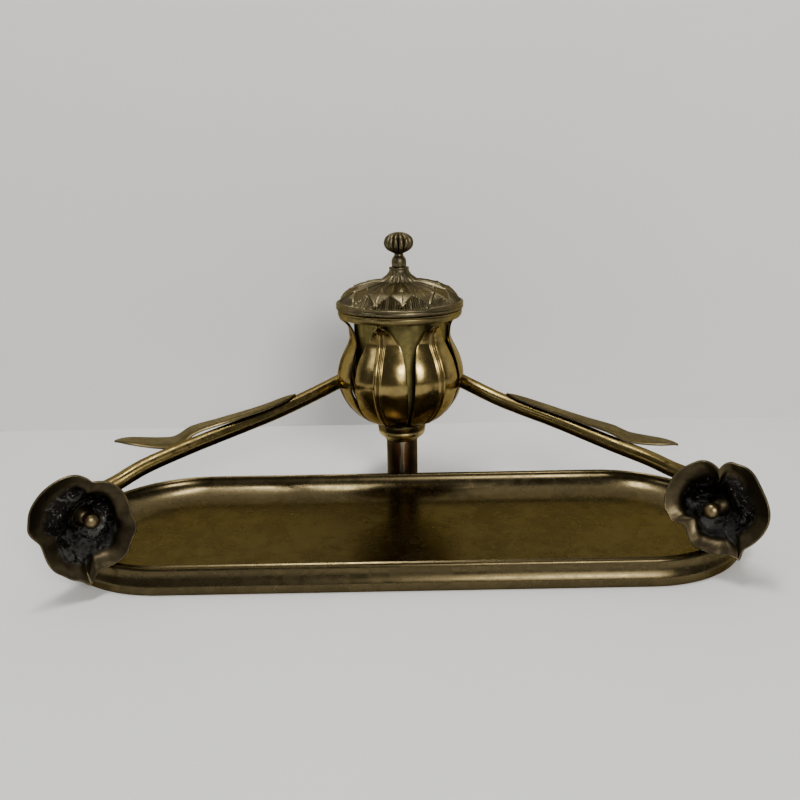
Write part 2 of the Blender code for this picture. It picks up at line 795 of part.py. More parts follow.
def flower_centre(word, throat):
    """Cone and knob inside the bowl, on one shank that screws into the calyx behind."""
    bore = PISTIL_SHANK + GAP
    cone_top = 3.8 * MM
    cone = [
        (2.6 * MM, cone_top),
        (3.7 * MM, cone_top - 1 * MM),
        (4.6 * MM, 1.3 * MM),
        (4.8 * MM, 0.5 * MM),
        (bore, 0.5 * MM),
        (bore, cone_top),
    ]
    turned(f"pistil_cone_{word}", cone, FLOWER_BRASS, throat, steps=18, closed=True)

    low = cone_top + GAP
    back = -FLOWER_SHEET - GAP
    knob = [(0, low + 2 * KNOB_RADIUS - 1 * MM)]
    for a in (25, 50, 75, 100, 125):
        knob.append(
            (
                KNOB_RADIUS * sin(radians(a)),
                low + (KNOB_RADIUS - 0.5 * MM) * (1 + cos(radians(a))),
            )
        )
    knob += [
        (1.9 * MM, low),
        (PISTIL_SHANK, low),
        (PISTIL_SHANK, back - 4 * MM),
        (0, back - 4 * MM),
    ]
    turned(f"pistil_knob_{word}", knob, STEM_BRASS, throat, steps=16)

    calyx = [
        (0, back - 4 * MM - GAP),
        (bore, back - 4 * MM - GAP),
        (bore, back),
        (4.2 * MM, back),
        (STEM_RADIUS + 1.4 * MM, back - 1.2 * MM),
        (STEM_RADIUS + 0.5 * MM, back - 0.7 * CALYX_LENGTH),
        (STEM_RADIUS, back - CALYX_LENGTH),
        (0, back - CALYX_LENGTH),
    ]
    turned(f"calyx_{word}", calyx, DARK_BRASS, throat, steps=20)
    return throat @ Vector((0, 0, back - CALYX_LENGTH - GAP))


# ---------------------------------------------------------------- stems and leaves
def stem_route(side, end, throat):
    """The stem's middle line, from inside the tulip's side to the calyx."""
    sign = side["sign"]
    leaves_at = PETAL_FOOT + SWELL_SHARE * BULB_HEIGHT - side["leaves_below"] * MM
    start = Vector((sign * (BULB_RADIUS - 3 * MM), POST_Y, leaves_at + 1.4 * MM))
    kx, ky, kz = side["knee"]
    knee = end + Vector((sign * kx, ky, kz)) * MM
    route = [start]
    for share, rise in side["bow"]:
        route.append(start.lerp(knee, share) + Vector((0, 0, rise * MM)))
    outwards = throat.to_3x3() @ Vector((0, 0, 1))
    turn = end + Vector((sign * 3.6, 6.9, -0.6)) * MM
    route += [knee, end + Vector((sign * 0.2, 14.2, -0.2)) * MM, turn]
    route.append(end - outwards * STRAIGHT_END)
    return through(route, 27) + [end]


def stem(word, side, end, throat):
    """A round tube, cut at its upper end to the swell of the petal that it meets."""
    points = stem_route(side, end, throat)
    curve = bpy.data.curves.new("stem_curve", "CURVE")
    curve.dimensions = "3D"
    curve.bevel_depth = STEM_RADIUS
    curve.bevel_resolution = 3
    curve.use_fill_caps = True
    spline = curve.splines.new("POLY")
    spline.points.add(len(points) - 1)
    for point, place_at in zip(spline.points, points):
        point.co = (*place_at, 1)
    tube = place("stem_tube", curve, STEM_BRASS)
    graph = bpy.context.evaluated_depsgraph_get()
    mesh = bpy.data.meshes.new_from_object(tube.evaluated_get(graph))
    bpy.data.objects.remove(tube)
    bm = bmesh.new()
    bm.from_mesh(mesh)
    bmesh.ops.remove_doubles(bm, verts=bm.verts, dist=MERGE)
    bm.to_mesh(mesh)
    bm.free()
    mesh.materials.clear()
    part = smooth(place(f"stem_{word}", mesh, STEM_BRASS))
    clear = PETAL_RIB + GAP
    outline = [(r + clear, z + PETAL_FOOT) for r, z, _ in through(petal_outline(), 16)]
    swell = [(0, outline[-1][1])] + outline[:0:-1] + [(0, outline[1][1])]
    cut(part, turned("tulip_swell", swell, STEM_BRASS, on_post(), steps=48))
    return points


def leaf(word, side, stem_points, end):
    """A long pointed leaf that lies on the stem and leaves it near its tip."""
    sign = side["sign"]
    rest = STEM_RADIUS + LEAF_SHEET + GAP
    route = [
        stem_points[step] + Vector((0, behind * MM, rest + rise * MM))
        for step, behind, rise in side["leaf"]
    ]
    route.append(end + Vector((sign * side["leaf_tip"][0], *side["leaf_tip"][1:])) * MM)
    line = through(route, 17)
    rows = len(line) - 1
    widths = through([(0, 0.08), (0.1, 0.4), (0.45, 0.62), (0.75, 1.0), (0.9, 0.72), (1, 0.03)], 200)

    def width(along):
        return min(widths, key=lambda w: abs(w[0] - along))[1] * LEAF_WIDTH

    def point(across, along):
        n = round(along * rows)
        tangent = (line[min(n + 1, rows)] - line[max(n - 1, 0)]).normalized()
        side_way = tangent.cross(Vector((0, 0, 1))).normalized() * -sign
        lift = side["leaf_roll"] * along + 0.12 * across
        half = width(along) / 2
        return line[n] + side_way * across * half + Vector((0, 0, lift * half * across))

    def outward(across, along):
        return point(-across * sign, along)

    return sheet(f"leaf_{word}", rows, 4, outward, LEAF_SHEET, STEM_BRASS)


# ---------------------------------------------------------------- assembly
pen_tray()
foot_bracket()
post()
post_collar()
tie_rod()
for index in range(PETALS):
    petal(index)
inner_cup()
cup_ring()
ink_pot()
lid()
finial()
hinge()
for word, side in SIDES.items():
    throat_frame = flower(word, side)
    stem_end = flower_centre(word, throat_frame)
    stem_line = stem(word, side, stem_end, throat_frame)
    leaf(word, side, stem_line, stem_end)
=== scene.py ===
"""Brass inkstand in the Art Nouveau manner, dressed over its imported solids."""

from math import atan2, cos, degrees, hypot, pi, radians, sin

import bmesh
import bpy
from mathutils import Matrix, Vector, noise


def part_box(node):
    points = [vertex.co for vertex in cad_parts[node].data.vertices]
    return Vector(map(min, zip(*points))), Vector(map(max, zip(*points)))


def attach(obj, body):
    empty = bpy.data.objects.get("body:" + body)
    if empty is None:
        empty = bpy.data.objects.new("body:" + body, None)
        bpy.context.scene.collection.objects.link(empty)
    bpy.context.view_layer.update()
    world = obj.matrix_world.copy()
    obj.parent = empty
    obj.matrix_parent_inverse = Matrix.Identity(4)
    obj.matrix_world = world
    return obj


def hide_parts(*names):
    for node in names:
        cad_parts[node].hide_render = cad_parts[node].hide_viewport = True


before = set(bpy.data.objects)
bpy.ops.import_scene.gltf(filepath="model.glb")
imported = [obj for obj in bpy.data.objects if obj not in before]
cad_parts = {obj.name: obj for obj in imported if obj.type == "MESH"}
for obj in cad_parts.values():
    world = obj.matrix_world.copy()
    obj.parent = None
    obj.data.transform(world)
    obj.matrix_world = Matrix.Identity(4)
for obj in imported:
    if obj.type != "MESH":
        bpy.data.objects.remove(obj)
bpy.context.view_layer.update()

# ---------------------------------------------------------------- pen tray
# The tray is pressed from one brass sheet: a flat floor, a broad cove, a flat rim between
# two fine beads, and a skirt that swells just above the table. It is polished lengthwise
# and has toned to olive brown.
MM = 0.001
tray_low, tray_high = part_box("pen_tray")
TRAY_MIDDLE = Vector(((tray_low.x + tray_high.x) / 2, (tray_low.y + tray_high.y) / 2, 0))
TRAY_HALF_LENGTH = (tray_high.x - tray_low.x) / 2
TRAY_HALF_DEPTH = (tray_high.y - tray_low.y) / 2
TRAY_HEIGHT = tray_high.z
TRAY_SHEET = 1.4 * MM
TRAY_FLOOR = 2.2 * MM
COVE_WIDTH = 17 * MM
RIM_INSET = 5.5 * MM


class Shade:
    """A number that varies over a surface. Arithmetic on it adds Math nodes."""

    def __init__(self, finish, socket):
        self.finish, self.socket = finish, socket

    def math(self, operation, *values, clamp=False):
        settings = {"operation": operation, "use_clamp": clamp}
        node = self.finish.node("ShaderNodeMath", settings, enumerate(values))
        return Shade(self.finish, node.outputs[0])

    def __add__(self, other):
        return self.math("ADD", self, other)

    def __mul__(self, other):
        return self.math("MULTIPLY", self, other)

    def __sub__(self, other):
        return self.math("SUBTRACT", self, other)

    def __rsub__(self, other):
        return self.math("SUBTRACT", other, self)

    __radd__ = __add__
    __rmul__ = __mul__


class Finish:
    """One material: its Principled shader, and one way to add any other node."""

    def __init__(self, name, **fixed):
        self.material = bpy.data.materials.new(name)
        self.material.use_nodes = True
        self.shader = self.material.node_tree.nodes["Principled BSDF"]
        for socket, value in fixed.items():
            self.shader.inputs[socket.replace("_", " ")].default_value = value

    def node(self, kind, settings=(), sockets=()):
        node = self.material.node_tree.nodes.new(kind)
        for setting, value in dict(settings).items():
            setattr(node, setting, value)
        for socket, value in dict(sockets).items():
            self.feed(node.inputs[socket], value)
        return node

    def feed(self, socket, value):
        value = value.socket if isinstance(value, Shade) else value
        if isinstance(value, bpy.types.NodeSocket):
            self.material.node_tree.links.new(value, socket)
        else:
            socket.default_value = value

    def stretched(self, scale, turn=(0, 0, 0)):
        """Object coordinates, drawn out by a different amount along each axis."""
        place = self.node("ShaderNodeTexCoord").outputs["Object"]
        sockets = {"Vector": place, "Scale": scale, "Rotation": turn}
        return self.node("ShaderNodeMapping", {}, sockets).outputs[0]

    def noise(self, scale, detail=4, place=None, rough=0.55, twist=0.0):
        place = place or self.node("ShaderNodeTexCoord").outputs["Object"]
        sockets = {
            "Vector": place,
            "Scale": scale,
            "Detail": detail,
            "Roughness": rough,
            "Distortion": twist,
        }
        return Shade(self, self.node("ShaderNodeTexNoise", {}, sockets).outputs[0])

    def hollow(self, distance):
        """1 deep in a hollow, 0 in the open."""
        settings = {"samples": 6, "only_local": True}
        node = self.node("ShaderNodeAmbientOcclusion", settings, {"Distance": distance})
        return 1 - Shade(self, node.outputs["AO"])

    def edge(self, distance):
        """1 on an outer edge, 0 on the flat."""
        settings = {"samples": 6, "only_local": True, "inside": True}
        node = self.node("ShaderNodeAmbientOcclusion", settings, {"Distance": distance})
        return 1 - Shade(self, node.outputs["AO"])

    def ease(self, value, low, high):
        """0 below low and 1 above high, with a smooth step between."""
        sockets = {"Value": value, "From Min": low, "From Max": high}
        settings = {"interpolation_type": "SMOOTHSTEP"}
        return Shade(self, self.node("ShaderNodeMapRange", settings, sockets).outputs[0])

    def mix(self, share, under, over):
        """One colour over another."""
        under, over = (
            (*c, 1) if isinstance(c, tuple) and len(c) == 3 else c for c in (under, over)
        )
        sockets = {0: share, 6: under, 7: over}
        return self.node("ShaderNodeMix", {"data_type": "RGBA"}, sockets).outputs[2]

    def rough_height(self, height, depth, strength=1.0):
        """Fine relief, with its depth in metres."""
        sockets = {"Height": height, "Distance": depth, "Strength": strength}
        bump = self.node("ShaderNodeBump", {}, sockets)
        self.feed(self.shader.inputs["Normal"], bump.outputs[0])


def aged_brass(name, bright, brown, grime_and_shade_tone, gloss, dull, worn=0.5, hollow=2.5 * MM, relief=1.0):
    """Brass whose brown patina has worn through in patches, with grime spots, and with its hollows
    darkened by grime and painted shade.
    """
    finish = Finish(name, Metallic=1.0, Specular_Tint=(0.58, 0.52, 0.40, 1))
    cloud = finish.noise(38, 4, twist=0.6)
    mottle = finish.noise(230, 5)
    grain = finish.noise(1600, 2)
    patina = finish.ease(cloud * 0.6 + mottle * 0.4, worn - 0.14, worn + 0.14)
    # Hollows go towards the grime tone by ambient occlusion: partly grime, partly painted shade.
    hollow_shade_and_grime = finish.ease(finish.hollow(hollow) + mottle * 0.3, 0.45, 0.95)
    spots = finish.ease(finish.noise(520, 3), 0.66, 0.74) * 0.6
    colour = finish.mix(patina, bright, brown)
    colour = finish.mix(hollow_shade_and_grime, colour, grime_and_shade_tone)
    colour = finish.mix(spots, colour, grime_and_shade_tone)
    roughness = patina * (dull - gloss) + gloss + mottle * 0.12 - 0.06 + hollow_shade_and_grime * 0.2
    return finish, colour, roughness, grain * 0.35 + mottle * 0.65, relief * 0.05 * MM


def coat(finish, colour, roughness, height, depth):
    """Joins a finish's colour, roughness and relief to its shader."""
    finish.feed(finish.shader.inputs["Base Color"], colour)
    finish.feed(finish.shader.inputs["Roughness"], roughness)
    finish.rough_height(height, depth)
    return finish.material


def finished(bm, name, material, body, slot, *nodes, sharp=38):
    """A mesh made into a piece: closed up, facing outward and smooth up to an edge."""
    bmesh.ops.remove_doubles(bm, verts=bm.verts, dist=0.002 * MM)
    bmesh.ops.recalc_face_normals(bm, faces=bm.faces)
    mesh = bpy.data.meshes.new(name)
    bm.to_mesh(mesh)
    bm.free()
    mesh.shade_smooth()
    mesh.set_sharp_from_angle(angle=radians(sharp))
    mesh.materials.append(material)
    piece = bpy.data.objects.new(name, mesh)
    bpy.context.scene.collection.objects.link(piece)
    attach(piece, body)
    if nodes:
        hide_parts(*nodes)
    return piece


def newly(result, kind):
    return [part for part in result["geom"] if isinstance(part, kind)]


def tray_brass():
    tints = ((0.108, 0.084, 0.040), (0.080, 0.062, 0.031), (0.03, 0.022, 0.010))
    finish, colour, roughness, height, depth = aged_brass(
        "tray_brass", *tints, gloss=0.22, dull=0.30, worn=0.5, hollow=3 * MM
    )
    brushed = finish.noise(1.0, 4, finish.stretched((16, 1300, 1300)), 0.7)
    colour = finish.mix(finish.ease(brushed, 0.42, 0.72) * 0.35, colour, (0.060, 0.045, 0.022))
    pits = finish.ease(finish.noise(900, 2), 0.7, 0.76)
    colour = finish.mix(pits * 0.7, colour, (0.025, 0.018, 0.009))
    roughness = roughness + brushed * 0.1 - 0.05
    return coat(finish, colour, roughness, height * 0.5 + brushed * 0.5, depth * 0.5)


def tray_section():
    """From the middle of the floor out over the cove and rim, down the skirt, back under."""
    edge = TRAY_HALF_DEPTH
    foot = edge - RIM_INSET - COVE_WIDTH
    fall = TRAY_HEIGHT - TRAY_FLOOR
    arc = [radians(90 - 90 * n / 16) for n in range(17)]
    cove = [(foot + COVE_WIDTH * cos(a), TRAY_HEIGHT - fall * sin(a)) for a in arc[:-1]]
    rim = [(5.55, 10.95), (5.45, 11.12), (5.2, 11.2), (4.9, 11.12), (4.65, 10.85), (4.0, 10.68)]
    rim += [(3.2, 10.7), (2.95, 10.92), (2.65, 11.0), (2.35, 10.9), (2.15, 10.5), (2.0, 9.8)]
    skirt = [(1.85, 8.8), (1.6, 7.6), (1.2, 6.4), (0.65, 5.2), (0.2, 4.3), (0.02, 3.6)]
    skirt += [(0.02, 2.9), (0.2, 2.0), (0.45, 1.1), (0.55, 0.5), (0.6, 0)]
    inside = [(1.95, 0.0), (1.7, 1.4), (1.4, 3.3), (2.6, 7.0), (3.4, 9.3), (4.5, 9.8)]
    under = [
        (foot + (COVE_WIDTH + TRAY_SHEET) * cos(a), TRAY_HEIGHT - (fall + TRAY_SHEET) * sin(a))
        for a in arc[:-2:2]
    ]
    turns = [(edge - inset * MM, z * MM) for inset, z in rim + skirt + inside]
    floor_line = [(0, TRAY_FLOOR), (foot * 0.5, TRAY_FLOOR)]
    back = [(0, TRAY_FLOOR - TRAY_SHEET)]
    return floor_line + cove + turns + under[::-1] + back


bm = bmesh.new()
corners = [bm.verts.new((0, y, z)) for y, z in tray_section()]
row = [bm.edges.new(pair) for pair in zip(corners, corners[1:])]
end_x = TRAY_HALF_LENGTH - TRAY_HALF_DEPTH
for step in range(5):
    drawn = bmesh.ops.extrude_edge_only(bm, edges=row)
    ends = newly(drawn, bmesh.types.BMVert)
    row = [e for e in newly(drawn, bmesh.types.BMEdge) if all(v in ends for v in e.verts)]
    bmesh.ops.translate(bm, verts=ends, vec=(end_x / 5, 0, 0))
bmesh.ops.spin(bm, geom=ends + row, cent=(end_x, 0, 0), axis=(0, 0, -1), angle=pi / 2, steps=28)
bmesh.ops.remove_doubles(bm, verts=bm.verts, dist=0.002 * MM)
for axis in "XY":
    quarter = bm.verts[:] + bm.edges[:] + bm.faces[:]
    bmesh.ops.mirror(bm, geom=quarter, axis=axis, merge_dist=0.01 * MM)
bmesh.ops.translate(bm, verts=bm.verts, vec=TRAY_MIDDLE)
finished(bm, "tray", tray_brass(), "stand", "tray_brass", "pen_tray")

# ---------------------------------------------------------------- foot and post
# A strap runs from under the tray to a disc on which the round post stands. Both are
# nearly black. The post has a pale streak down the middle of its front, verdigris in tint
# but laid where a highlight falls, so partly a painted highlight, with a reddish band beside
# it. A rod and a nut inside draw the column together.
post_low, post_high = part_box("post")
POST_AXIS = Vector(((post_low.x + post_high.x) / 2, (post_low.y + post_high.y) / 2, 0))
POST_RADIUS = (post_high.x - post_low.x) / 2


def dark_brass(name="dark_brass", streaked=False):
    tints = ((0.085, 0.052, 0.025), (0.035, 0.024, 0.014), (0.008, 0.006, 0.005))
    finish, colour, roughness, height, depth = aged_brass(
        name, *tints, gloss=0.2, dull=0.38, worn=0.46
    )
    runs = finish.noise(1.0, 4, finish.stretched((260, 260, 34)), 0.6, 0.8)
    verdigris_and_highlight = finish.ease(runs, 0.58, 0.70) * 0.6
    if streaked:
        place = finish.node("ShaderNodeTexCoord").outputs["Object"]
        split = finish.node("ShaderNodeSeparateXYZ", {}, {0: place}).outputs
        aside = Shade(finish, split[0]) + finish.noise(130, 4) * 3 * MM - 1.5 * MM
        front = 1 - finish.ease(split[1], POST_AXIS.y - 5 * MM, POST_AXIS.y - 3 * MM)
        off = finish.node("ShaderNodeMath", {"operation": "ABSOLUTE"}, {0: aside}).outputs[0]
        # The pale streak down the post's front is a verdigris tint where a highlight falls: partly
        # a painted highlight.
        highlight_and_verdigris_streak = (1 - finish.ease(off, 0.9 * MM, 1.8 * MM)) * front
        red = (1 - finish.ease(off, 2.2 * MM, 5.0 * MM)) * front
        colour = finish.mix(red * 0.6, colour, (0.13, 0.052, 0.022))
        verdigris_and_highlight = verdigris_and_highlight * 0.5 + highlight_and_verdigris_streak * finish.ease(runs, 0.34, 0.56) * 0.8
    colour = finish.mix(verdigris_and_highlight, colour, (0.24, 0.27, 0.21))
    return coat(finish, colour, roughness + verdigris_and_highlight * 0.25, height, depth)


def turned(profile, place, steps=96):
    """A lathe piece from (radius, height) points."""
    bm = bmesh.new()
    ring = [bm.verts.new((r, 0, z)) for r, z in profile]
    edges = [bm.edges.new(pair) for pair in zip(ring, ring[1:])]
    bmesh.ops.spin(
        bm, geom=ring + edges, axis=(0, 0, 1), angle=2 * pi, steps=steps, use_merge=True
    )
    bmesh.ops.remove_doubles(bm, verts=bm.verts, dist=0.002 * MM)
    bmesh.ops.transform(bm, verts=bm.verts, matrix=place)
    return bm


def eased(bm, width, turn=32):
    """Sharp edges rounded off."""
    sharp = [e for e in bm.edges if len(e.link_faces) == 2 and e.calc_face_angle() > radians(turn)]
    bmesh.ops.bevel(
        bm, geom=sharp, affect="EDGES", offset=width, segments=2, profile=0.5, material=-1,
        clamp_overlap=True,
    )
    return bm


def copied(node):
    """A solid's own mesh, joined up, with the cuts across its flat faces taken out."""
    bm = bmesh.new()
    bm.from_mesh(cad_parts[node].data)
    bmesh.ops.remove_doubles(bm, verts=bm.verts, dist=0.002 * MM)
    bmesh.ops.dissolve_limit(
        bm, angle_limit=radians(1), verts=bm.verts[:], edges=bm.edges[:],
        use_dissolve_boundaries=False,
    )
    return bm


DARK = dark_brass()
on_post = Matrix.Translation(POST_AXIS)
finished(
    eased(copied("foot_bracket"), 0.3 * MM), "foot", DARK, "stand", "dark_brass", "foot_bracket"
)
r, top, bottom = POST_RADIUS, post_high.z, post_low.z
bore = 2.4 * MM
shaft = [(r, top), (r, bottom), (bore, bottom), (bore, top), (r, top)]
post_finish = dark_brass("post_brass", streaked=True)
finished(
    eased(turned(shaft, on_post), 0.3 * MM), "column", post_finish, "stand", "dark_brass", "post"
)
for node in ("tie_rod", "tie_nut"):
    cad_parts[node].material_slots[0].material = DARK

# ---------------------------------------------------------------- collar
# A turned collar seats the tulip on the post: a dark band, part patina and part painted
# shadow under the petals, above a ring whose bright gold tint is partly a painted highlight,
# and a foot painted darker.
collar_low, collar_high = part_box("post_collar")


def collar_brass():
    # The bright tints stand partly for a painted highlight on the ring.
    tints = ((0.62, 0.48, 0.20), (0.36, 0.27, 0.11), (0.03, 0.022, 0.012))
    finish, colour, roughness, height, depth = aged_brass(
        "collar_brass", *tints, gloss=0.16, dull=0.34, worn=0.5
    )
    up = Shade(finish, finish.node("ShaderNodeSeparateXYZ", {}, {
        0: finish.node("ShaderNodeTexCoord").outputs["Object"]}).outputs[2])
    # Near-black top band: patina with a painted shadow under the petals. The foot is painted
    # darker too.
    band = finish.ease(up, collar_high.z - 4.4 * MM, collar_high.z - 3.4 * MM)
    low = 1 - finish.ease(up, collar_low.z + 0.6 * MM, collar_low.z + 1.8 * MM)
    colour = finish.mix(band * 0.85 + low * 0.6, colour, (0.018, 0.013, 0.008))
    return coat(finish, colour, roughness, height, depth)


low, high = collar_low.z, collar_high.z
outer = [(12.2, 9.3), (12.6, 9.1), (12.7, 8.7), (12.7, 6.4), (12.5, 6.0), (12.15, 5.75)]
outer += [(12.2, 5.4), (12.42, 4.9), (12.4, 4.2), (12.1, 3.4), (11.5, 2.6), (10.7, 1.95)]
outer += [(10.0, 1.5), (9.5, 1.25), (9.3, 0.95), (9.25, 0.5), (9.0, 0.2), (8.6, 0)]
moulding = [(x * MM, low + z * MM) for x, z in outer]
moulding += [(bore, low), (bore, high), moulding[0]]
finished(
    turned(moulding, on_post), "collar", collar_brass(), "stand", "dark_brass", "post_collar"
)

# ---------------------------------------------------------------- petals
# Six petals are cut from sheet and raised over a stake, each with a chased rib: two ridges
# with a groove between. Their edges are filed bright. They are screwed down between the
# collar and the cup, and their tips curl out under the ring.
BULB_RADIUS = 32.6 * MM
WAIST_RADIUS = 25.5 * MM
PETALS = 6
PETAL_PHASE = -20.8  # degrees from the front, of the first petal
PETAL_SHEET = 0.9 * MM
PETAL_FOOT = collar_high.z + 0.3 * MM
petal_top = max(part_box(f"petal_{n + 1}")[1].z for n in range(PETALS))
PETAL_RISE = petal_top - PETAL_FOOT


def even_line(points, count):
    """Points along a smooth curve through a few given ones, evenly in length."""
    knots = [Vector(p) for p in points]
    along = [0.0]
    for a, b in zip(knots, knots[1:]):
        along.append(along[-1] + (b - a).length)
    last = len(knots) - 1
    slopes = []
    for i in range(last + 1):
        before, after = max(i - 1, 0), min(i + 1, last)
        slopes.append((knots[after] - knots[before]) / (along[after] - along[before]))
    line, i = [], 0
    for n in range(count):
        s = along[-1] * n / (count - 1)
        while i < last - 1 and along[i + 1] <= s:
            i += 1
        span = along[i + 1] - along[i]
        t = (s - along[i]) / span
        line.append(
            knots[i] * (2 * t**3 - 3 * t**2 + 1)
            + slopes[i] * span * (t**3 - 2 * t**2 + t)
            + knots[i + 1] * (3 * t**2 - 2 * t**3)
            + slopes[i + 1] * span * (t**3 - t**2)
        )
    return line


def walled(bm, name, thickness, material, node, edge=0.2 * MM, back=None):
    """A face given the thickness of its sheet, with its cut edges filed."""
    mesh = bpy.data.meshes.new(name)
    bm.to_mesh(mesh)
    bm.free()
    mesh.shade_smooth()
    mesh.materials.append(material)
    piece = bpy.data.objects.new(name, mesh)
    bpy.context.scene.collection.objects.link(piece)
    wall = piece.modifiers.new("wall", "SOLIDIFY")
    wall.thickness = thickness
    wall.offset = -1
    if back:
        mesh.materials.append(back)
        wall.material_offset = 1
    filed = piece.modifiers.new("filed edge", "BEVEL")
    filed.limit_method = "ANGLE"
    filed.angle_limit = radians(60)
    filed.width = edge
    filed.segments = 2
    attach(piece, "stand")
    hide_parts(node)


def grid_face(rows, columns, point):
    """A sheet's outer face, which point(across, along) places."""
    bm = bmesh.new()
    bmesh.ops.create_grid(bm, x_segments=columns, y_segments=rows, size=1)
    for v in bm.verts:
        v.co = point(v.co.x, (v.co.y + 1) / 2)
    return bm


def petal_brass():
    tints = ((0.28, 0.205, 0.075), (0.13, 0.094, 0.036), (0.03, 0.02, 0.010))
    finish, colour, roughness, height, depth = aged_brass(
        "petal_brass", *tints, gloss=0.17, dull=0.33, worn=0.53, hollow=1.6 * MM
    )
    place = finish.node("ShaderNodeTexCoord").outputs["Object"]
    up = Shade(finish, finish.node("ShaderNodeSeparateXYZ", {}, {0: place}).outputs[2])
    # Below the bulb's widest the petals are painted darker brown: painted shade on the lower half.
    foot = 1 - finish.ease(up + finish.noise(90, 3) * 6 * MM, 46 * MM, 62 * MM)
    colour = finish.mix(foot * 0.6, colour, (0.10, 0.052, 0.022))
    edge = finish.ease(finish.edge(0.5 * MM), 0.42, 0.6)
    colour = finish.mix(edge * 0.7, colour, (0.55, 0.42, 0.20))
    return coat(finish, colour, roughness, height, depth)


def hump(x, half):
    """A rounded ridge of height 1 and a given half width."""
    return (1 - (x / half) ** 2) ** 2 if abs(x) < half else 0.0


def blend_in(x, low, high):
    t = max(0.0, min(1.0, (x - low) / (high - low)))
    return t * t * (3 - 2 * t)


def petal_lines(rows):
    """Radius, height and half width of a petal, row by row."""
    b, w, h = BULB_RADIUS / MM, WAIST_RADIUS / MM, PETAL_RISE / MM
    rising = [(6, 0, 2.6), (12, 0.1, 5.6), (b - 15, 0.03 * h, 8.6), (b - 10.3, 0.08 * h, 11.0)]
    rising += [(b - 4.1, 0.213 * h, 13.8), (b - 0.7, 0.354 * h, 15.0), (b, 0.432 * h, 15.1)]
    rising += [(b - 0.35, 0.51 * h, 14.8), ((b + w) / 2 + 1.2, 0.634 * h, 13.5)]
    rising += [(w + 0.6, 0.785 * h, 9.7), (w + 0.1, 0.845 * h, 7.4), (w + 1.4, 0.93 * h, 4.4)]
    rising += [(w + 5.7, h, 0.12)]
    return [p * MM for p in even_line(rising, rows + 1)]


def petal(number):
    middle = radians(PETAL_PHASE + 360 / PETALS * number) - pi / 2
    rows = 96
    lines = petal_lines(rows)

    def point(across, along):
        r, z, half_width = lines[round(along * rows)]
        x = abs(across) ** 1.5 * (1 if across > 0 else -1)
        off = x * half_width / MM
        show = blend_in(along, 0.1, 0.2) * (1 - blend_in(along, 0.84, 0.95))
        ridges = 0.75 * hump(off + 1.35, 1.35) + 0.8 * hump(off - 0.95, 0.8)
        rib = show * (ridges - 0.3 * hump(off, 0.7)) * MM
        tuck = min(1.0 * MM, max(0.0, r - WAIST_RADIUS - 0.4 * MM) * 0.18) * x**4
        reach = r + rib - tuck
        angle = middle + x * half_width / max(r, 1 * MM)
        return POST_AXIS + Vector((reach * cos(angle), reach * sin(angle), PETAL_FOOT + z))

    walled(
        grid_face(rows, 64, point), f"tulip_petal_{number + 1}", PETAL_SHEET, PETAL_FINISH,
        f"petal_{number + 1}",
    )


PETAL_FINISH = petal_brass()
for number in range(PETALS):
    petal(number)

# ---------------------------------------------------------------- cup, ring and pot
# The cup inside the petals holds a pressed glass pot, which hangs by its flange in the
# seat of the ring. Cup and ring are spun brass, and the ring has a fine line under its top.
cup_low, cup_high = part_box("inner_cup")
ring_low, ring_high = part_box("cup_ring")
pot_low, pot_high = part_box("ink_pot")


def ring_brass():
    tints = ((0.20, 0.155, 0.062), (0.12, 0.094, 0.042), (0.025, 0.018, 0.010))
    return coat(*aged_brass("ring_brass", *tints, gloss=0.24, dull=0.4, worn=0.5))


def cup_brass():
    tints = ((0.20, 0.165, 0.055), (0.085, 0.07, 0.028), (0.015, 0.012, 0.008))
    return coat(*aged_brass("cup_brass", *tints, gloss=0.3, dull=0.5, worn=0.48, relief=2))


def pot_glass():
    finish = Finish("pot_glass", Roughness=0.06, IOR=1.5, Transmission_Weight=1.0)
    swirl = finish.noise(60, 2)
    colour = finish.mix(swirl, (0.86, 0.93, 0.90), (0.74, 0.84, 0.80))
    finish.feed(finish.shader.inputs["Base Color"], colour)
    finish.rough_height(swirl, 0.2 * MM)
    return finish.material


r, low, high = (cup_high.x - cup_low.x) / 2, cup_low.z, cup_high.z
swell = [(r, high), (r, low + 18 * MM), (r - 0.5 * MM, low + 12.4 * MM)]
swell += [(r - 2.1 * MM, low + 7.4 * MM), (r - 5.1 * MM, low + 3.7 * MM)]
swell += [(r - 9.7 * MM, low + 1.2 * MM), (r - 14.7 * MM, low + 0.1 * MM)]
swell = [tuple(p) for p in even_line(swell, 30)]
wall = 1.0 * MM
lining = [(x - wall * min(1, x / (20 * MM)), z + wall) for x, z in swell[:0:-1]]
spun = swell + [(bore, low), (bore, low + wall)] + lining + [(r - wall, high), swell[0]]
finished(turned(spun, on_post, 128), "cup", cup_brass(), "stand", "lid_brass", "inner_cup")

r, low, high = (ring_high.x - ring_low.x) / 2, ring_low.z, ring_high.z
ring_bore = (cup_high.x - cup_low.x) / 2 + 0.3 * MM
seat_radius = ring_bore + 3.2 * MM
seat_z = high - 1.4 * MM
band = [(0.55, 0), (0.2, 0.05), (0.02, 0.25), (0, 0.6), (0.12, 0.8), (0.2, 0.95), (0.1, 1.12)]
band += [(0.02, 1.4), (0.1, 2.2), (0.3, 3.0), (0.5, 3.55), (0.75, 3.85), (1.1, 3.9)]
bezel = [(r - x * MM, high - z * MM) for x, z in band]
bezel += [(ring_bore, low), (ring_bore, seat_z), (seat_radius, seat_z), (seat_radius, high)]
spun_ring = turned(bezel + [bezel[0]], on_post, 160)
finished(spun_ring, "ring", ring_brass(), "stand", "lid_brass", "cup_ring")

